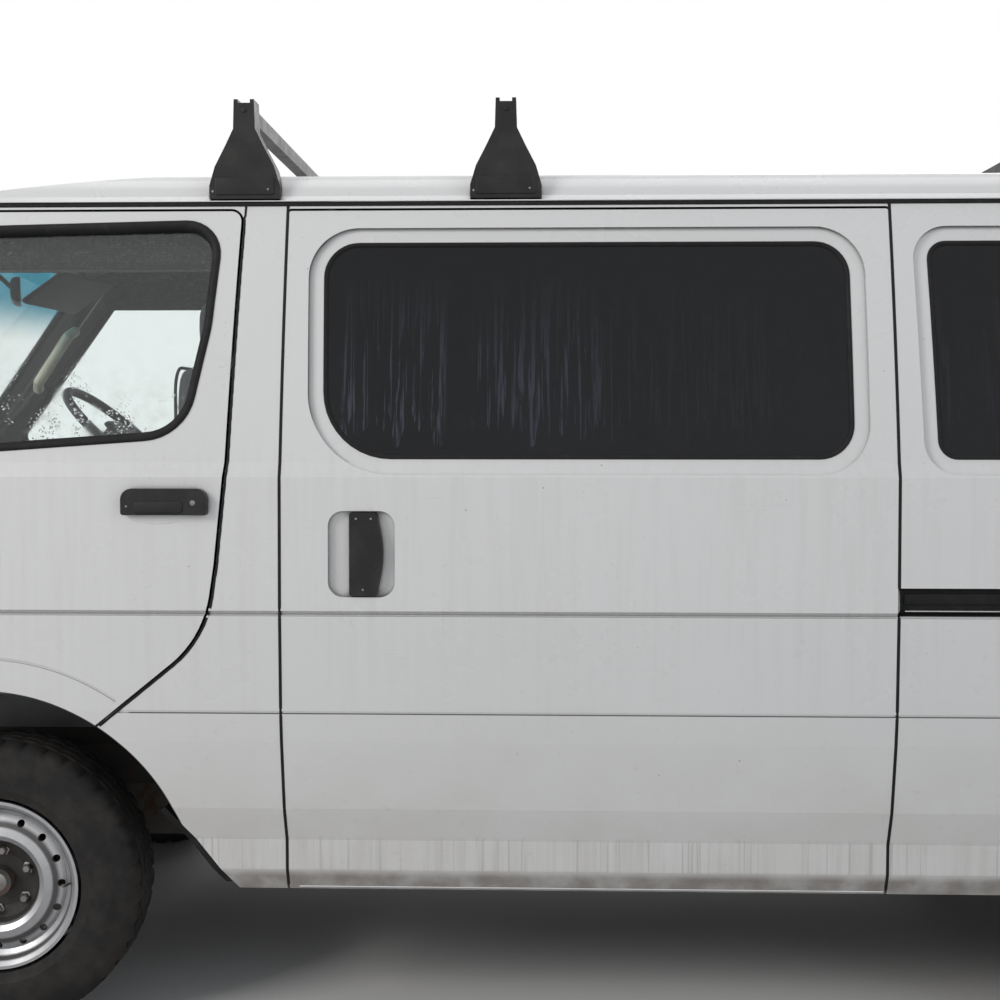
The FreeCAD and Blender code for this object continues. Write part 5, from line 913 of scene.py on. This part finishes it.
hood = rounded([(225, 1150, 20), (555, 1150, 20), (520, 1250, 40), (260, 1250, 40)])
cluster = rounded([(245, 1160, 16), (535, 1160, 16), (508, 1238, 34), (272, 1238, 34)])
piece("dash_mouldings", [
    slab(hood, upright(-1700), -110, 0, 10), slab(rect(-120, 985, 120, 1150, 20), upright(-1652), -30, 22, 12),
    slab(rect(-540, 1010, -180, 1110, 18), upright(-1655), -12, 14, 6)], DASH)
controls = [slab(cluster, upright(-1700), 0.1, 1.4, 0.8)]
controls += [turned([(0, 0), (r, 0), (r, 3), (r - 3, 4.5), (r - 5, 2), (0, 2)], (-1698.4, y, 1198), BACK, 40)
             for y, r in ((335, 34), (430, 34), (268, 15), (502, 15))]
for x, y, z in ((-1652, -600, 1095), (-1652, 600, 1095), (-1627, -62, 1125), (-1627, 62, 1125)):
    controls += [block((x - 4, y - 46, z + k - 2), (x + 6, y + 46, z + k + 2), 1) for k in steps(-18, 18, 4)]
    controls += [block((x - 6, y + k - 3, z - 24), (x + 7, y + k + 3, z + 24), 1.5) for k in (-48, 48)]
controls.append(block((-1632, -90, 1030), (-1627, 90, 1080), 2))
controls += [turned([(0, 0), (13, 0), (12, 12), (9, 14), (0, 14)], (-1627, y, 1055), BACK, 24) for y in (-68, 68)]
controls += [turned([(0, 0), (17, 0), (15, 14), (11, 17), (0, 17)], (-1630, y, 1006), BACK, 24) for y in (-64, 0, 64)]
piece("dash_controls", controls, TRIM)
LEVER_BOOT = [(62, 0), (58, 14), (48, 20), (50, 28), (38, 36), (40, 44), (26, 54), (14, 66), (0, 68)]
LEVER_KNOB = [(0, 0), (14, 4), (22, 18), (24, 34), (16, 46), (0, 50)]
piece("cab_levers", [
    turned(LEVER_BOOT, (-1560, 0, 830.2), (0, 0, 1), 28),
    tube([(-1560, 0, 880), (-1548, 0, 960), (-1532, 6, 1030)], 7, 12),
    turned(LEVER_KNOB, (-1532, 6, 1022), (0.1, 0, 1), 24),
    tube([(-1500, 95, 838), (-1420, 95, 866), (-1310, 95, 930)], 11, 14, squash=1.2)], TRIM)
pedals = [block((-1884, y - 28, 700), (-1874, y + 28, 760), 4) for y in (300, 380)]
pedals.append(block((-1884, 440, 660), (-1876, 480, 790), 4))
pedals += [tube([(-1884, y, 740), (-1920, y, 830), (-1960, y, 965)], 7) for y in (300, 380, 460)]
piece("pedals", pedals, RUBBER)
mats = [lining(steps(-2040, -1860, 6), steps(low, low + 510, 6), "floor_pan", "downwards", 0.3, 7)
        for low in (-600, 90)]
piece("cab_mats", mats, RUBBER)
pad = slab(rounded([(-70, -52, 26), (70, -52, 26), (62, 48, 26), (-62, 48, 26)]),
           lambda u, w, height: Vector((w, u, height)), 4, 22, 14, 5)
on_wheel = Matrix.Translation((-1425, 390, 1340)) @ Matrix.Rotation(radians(42), 4, "Y")
piece("steering_pad", [moved(pad, on_wheel)], DASH, "steering_wheel_body")


# --- seats: each cushion is a rounded block, remeshed, blown up by a cloth simulation and smoothed

SEAT_PADS = {
    # name: low corner, high corner, edge, greatest swelling, fill
    "cushion": ((-1332, 165, 838), (-890, 615, 968), 34, 9, 0.75),
    "back": ((-1004, 168, 992), (-888, 612, 1528), 34, 9, 0.7),
    "headrest": ((-978, 280, 1552), (-888, 500, 1682), 30, 6, 0.8),
}
SIMULATED_FRAMES = 20


def settled(item):
    """Keep the mesh that an item's modifiers give."""
    shown = item.evaluated_get(bpy.context.evaluated_depsgraph_get())
    mesh = bpy.data.meshes.new_from_object(shown)
    item.modifiers.clear()
    item.data = mesh


def block_pad(name, low, high, edge):
    """A rounded block, subdivided and remeshed."""
    item = piece(name, [block(low, high, edge)], FABRIC, smooth=180)
    item.modifiers.new("round", "SUBSURF").levels = 1
    remesh = item.modifiers.new("voxels", "REMESH")
    remesh.mode = "VOXEL"
    remesh.voxel_size = 0.009
    return item


def blow_up(items, caps):
    """Blow pads up by cloth simulation, with no point moved further than the cap."""
    for item in items:
        soft = item.modifiers.new("cloth", "CLOTH")
        soft.settings.use_pressure = True
        soft.settings.uniform_pressure_force = 4
        soft.settings.effector_weights.gravity = 0
        soft.settings.quality = 5
        soft.point_cache.frame_start, soft.point_cache.frame_end = 1, SIMULATED_FRAMES
    starts = [[vertex.co.copy() for vertex in item.data.vertices] for item in items]
    for number in range(1, SIMULATED_FRAMES + 1):
        SCENE.frame_set(number)
    for item, start, cap in zip(items, starts, caps):
        settled(item)
        for vertex, origin in zip(item.data.vertices, start):
            step = vertex.co - origin
            vertex.co = origin + step * min(1, cap * MM / max(step.length, 1e-9))
    SCENE.frame_set(1)


pads = [block_pad(f"driver_{name}", *row[:3]) for name, row in SEAT_PADS.items()]
for pad in pads:
    settled(pad)
blow_up(pads, [row[3] for row in SEAT_PADS.values()])
for item, (name, row) in zip(pads, SEAT_PADS.items()):
    mesh = item.data.copy()
    mesh.transform(MIRRORED)
    mesh.flip_normals()
    for pad in (item, linked(f"passenger_{name}", mesh)):
        smoothed(pad.data, 180)
        finer = pad.modifiers.new("smooth", "SUBSURF")
        finer.levels = finer.render_levels = 1
        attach(pad, "body")
        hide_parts("front_seats")

cushion_edge = resampled(rect(-1322, 176, -900, 604, 60), 40)
back_edge = resampled(rect(184, 1004, 596, 1516, 60), 40)
piping = [tube([(p.x, p.y, 966) for p in cushion_edge], 4, 8, closed=True),
          tube([(-1003, p.x, p.y) for p in back_edge], 4, 8, closed=True)]
piece("seat_piping", both_sides(piping), RUBBER, slot="seat_fabric")
posts = [tube([(-930, y, 1500), (-930, y, 1560)], 6, 12) for y in (340, 440)]
piece("headrest_posts", both_sides(posts), STEEL)
piece("seat_bases", both_sides([
    block((-1338, 158, 831), (-884, 622, 862), 10), block((-1060, 616, 850), (-930, 632, 930), 7),
    tube([(-1150, 626, 885), (-1080, 640, 900), (-1030, 640, 930)], 7)]), TRIM)


# --- load space

HIGH_RIB, LOW_RIB = 1850, 1270
ribs = []
for x, z in ((-660, HIGH_RIB), (-280, LOW_RIB), (40, LOW_RIB), (340, LOW_RIB), (700, HIGH_RIB), (880, LOW_RIB),
             (1750, LOW_RIB), (2130, HIGH_RIB)):
    path = [hit("left_inner", x, height, "outwards") for height in steps(735, z, 14)]
    ribs.append(strip(path, [(-32, 0.3), (-26, 17), (-12, 20), (12, 20), (26, 17), (32, 0.3)]))
path = [hit("left_inner", x, 1285, "outwards") for x in steps(-690, 2250, 16)]
ribs.append(strip(path, [(-16, 0.3), (-12, 13), (12, 13), (16, 0.3)]))
bows = []
for x in (-560, 0, 560, 1120, 1680, 2200):
    path = [hit("roof_panel", x, y, "upwards") for y in steps(-640, 640, 16)]
    bows.append(strip(path, [(-30, 0.3), (-22, 14), (22, 14), (30, 0.3)]))
piece("load_space_ribs", both_sides(ribs) + bows, PAINT)
board = lining(steps(-640, 640, 10), steps(740, 960, 5), "left_inner", "outwards", 20.5, 26)
piece("load_side_boards", both_sides([board]), BOARD)
floor_ribs = [block((-700, y - 14, 620.2), (1600, y + 14, 626), 2.5) for y in steps(-480, 480, 8)]
piece("load_floor_ribs", floor_ribs, FLOOR_METAL)
card = slab(rect(-520, 700, 520, 1120, 40), over("tailgate", "backwards"), 0.3, 8, 5)
piece("tailgate_card", [card], TRIM_GREY, TAILGATE)


# --- stage, light and camera, in metres

# A pale floor turns into the white backdrop with distance.
HALF, WORLD_LIGHT = 60, 0.32
mesh = bpy.data.meshes.new("floor")
mesh.from_pydata([(-HALF, -HALF, 0), (HALF, -HALF, 0), (HALF, HALF, 0), (-HALF, HALF, 0)], [], [(0, 1, 2, 3)])
s = Shader("floor_paint", 0.1)
mesh.materials.append(s.made(s.mix(s.noise(0.7), (0.78, 0.775, 0.77), (0.82, 0.818, 0.815)), 0.9))
far = s.vector("LENGTH", s.place, output="Value")
glow = s.new("Emission", {"Color": (1, 1, 1), "Strength": 1.0})
blend = s.new("MixShader", {0: s.span(far, 5, 14), 1: s.bsdf.outputs[0], 2: glow.outputs[0]})
put(s.tree.nodes["Material Output"].inputs[0], blend.outputs[0])
linked("floor", mesh)

# The world is white to the camera, and what lights the van is dimmer.
SCENE.world = bpy.data.worlds.new("studio")
SCENE.world.use_nodes = True
nodes = SCENE.world.node_tree.nodes
light, seen, blend = nodes["Background"], nodes.new("ShaderNodeBackground"), nodes.new("ShaderNodeMixShader")
rays = nodes.new("ShaderNodeLightPath").outputs
straight = rays["Is Camera Ray"]
for kind in ("Is Transmission Ray", "Is Glossy Ray"):
    either = nodes.new("ShaderNodeMath")
    either.operation = "MAXIMUM"
    put(either.inputs[0], straight)
    put(either.inputs[1], rays[kind])
    straight = either.outputs[0]
for socket, value in (
        (light.inputs[0], (0.93, 0.96, 1)), (light.inputs[1], WORLD_LIGHT), (seen.inputs[0], (1, 1, 1)),
        (blend.inputs[0], straight), (blend.inputs[1], light.outputs[0]), (blend.inputs[2], seen.outputs[0]),
        (nodes["World Output"].inputs[0], blend.outputs[0])):
    put(socket, value)


def softbox(name, place, target, size, watts, colour=(1, 1, 1)):
    """A rectangular lamp that faces a place."""
    lamp = bpy.data.lights.new(name, "AREA")
    lamp.shape = "RECTANGLE"
    lamp.size, lamp.size_y = size
    lamp.energy, lamp.color = watts, colour
    item = linked(name, lamp)
    item.location = place
    item.rotation_euler = (Vector(target) - Vector(place)).to_track_quat("-Z", "Y").to_euler()


MIDDLE = (0, 0, 1)
softbox("key", (-6.8, -5.6, 4.8), MIDDLE, (3.5, 3.5), 300, (1, 0.97, 0.93))
softbox("fill", (6, -5, 3.5), MIDDLE, (4, 3), 60, (0.92, 0.96, 1))
softbox("top", (0, 0, 6.5), (0, 0, 0), (6, 3), 70)
softbox("back", (3, 6.5, 4), MIDDLE, (5, 3), 80)

# The camera at the photograph's place and angle.
camera = linked("camera", bpy.data.cameras.new("camera"))
camera.data.sensor_width, camera.data.lens = 36, 52.5
camera.matrix_world = (Matrix.Translation((-0.1284, -4.025, 1.404)) @ Matrix.Rotation(radians(1.8), 4, "Z")
                       @ Matrix.Rotation(radians(90 - 3.34), 4, "X"))
SCENE.camera = camera
SCENE.view_settings.view_transform = "Standard"
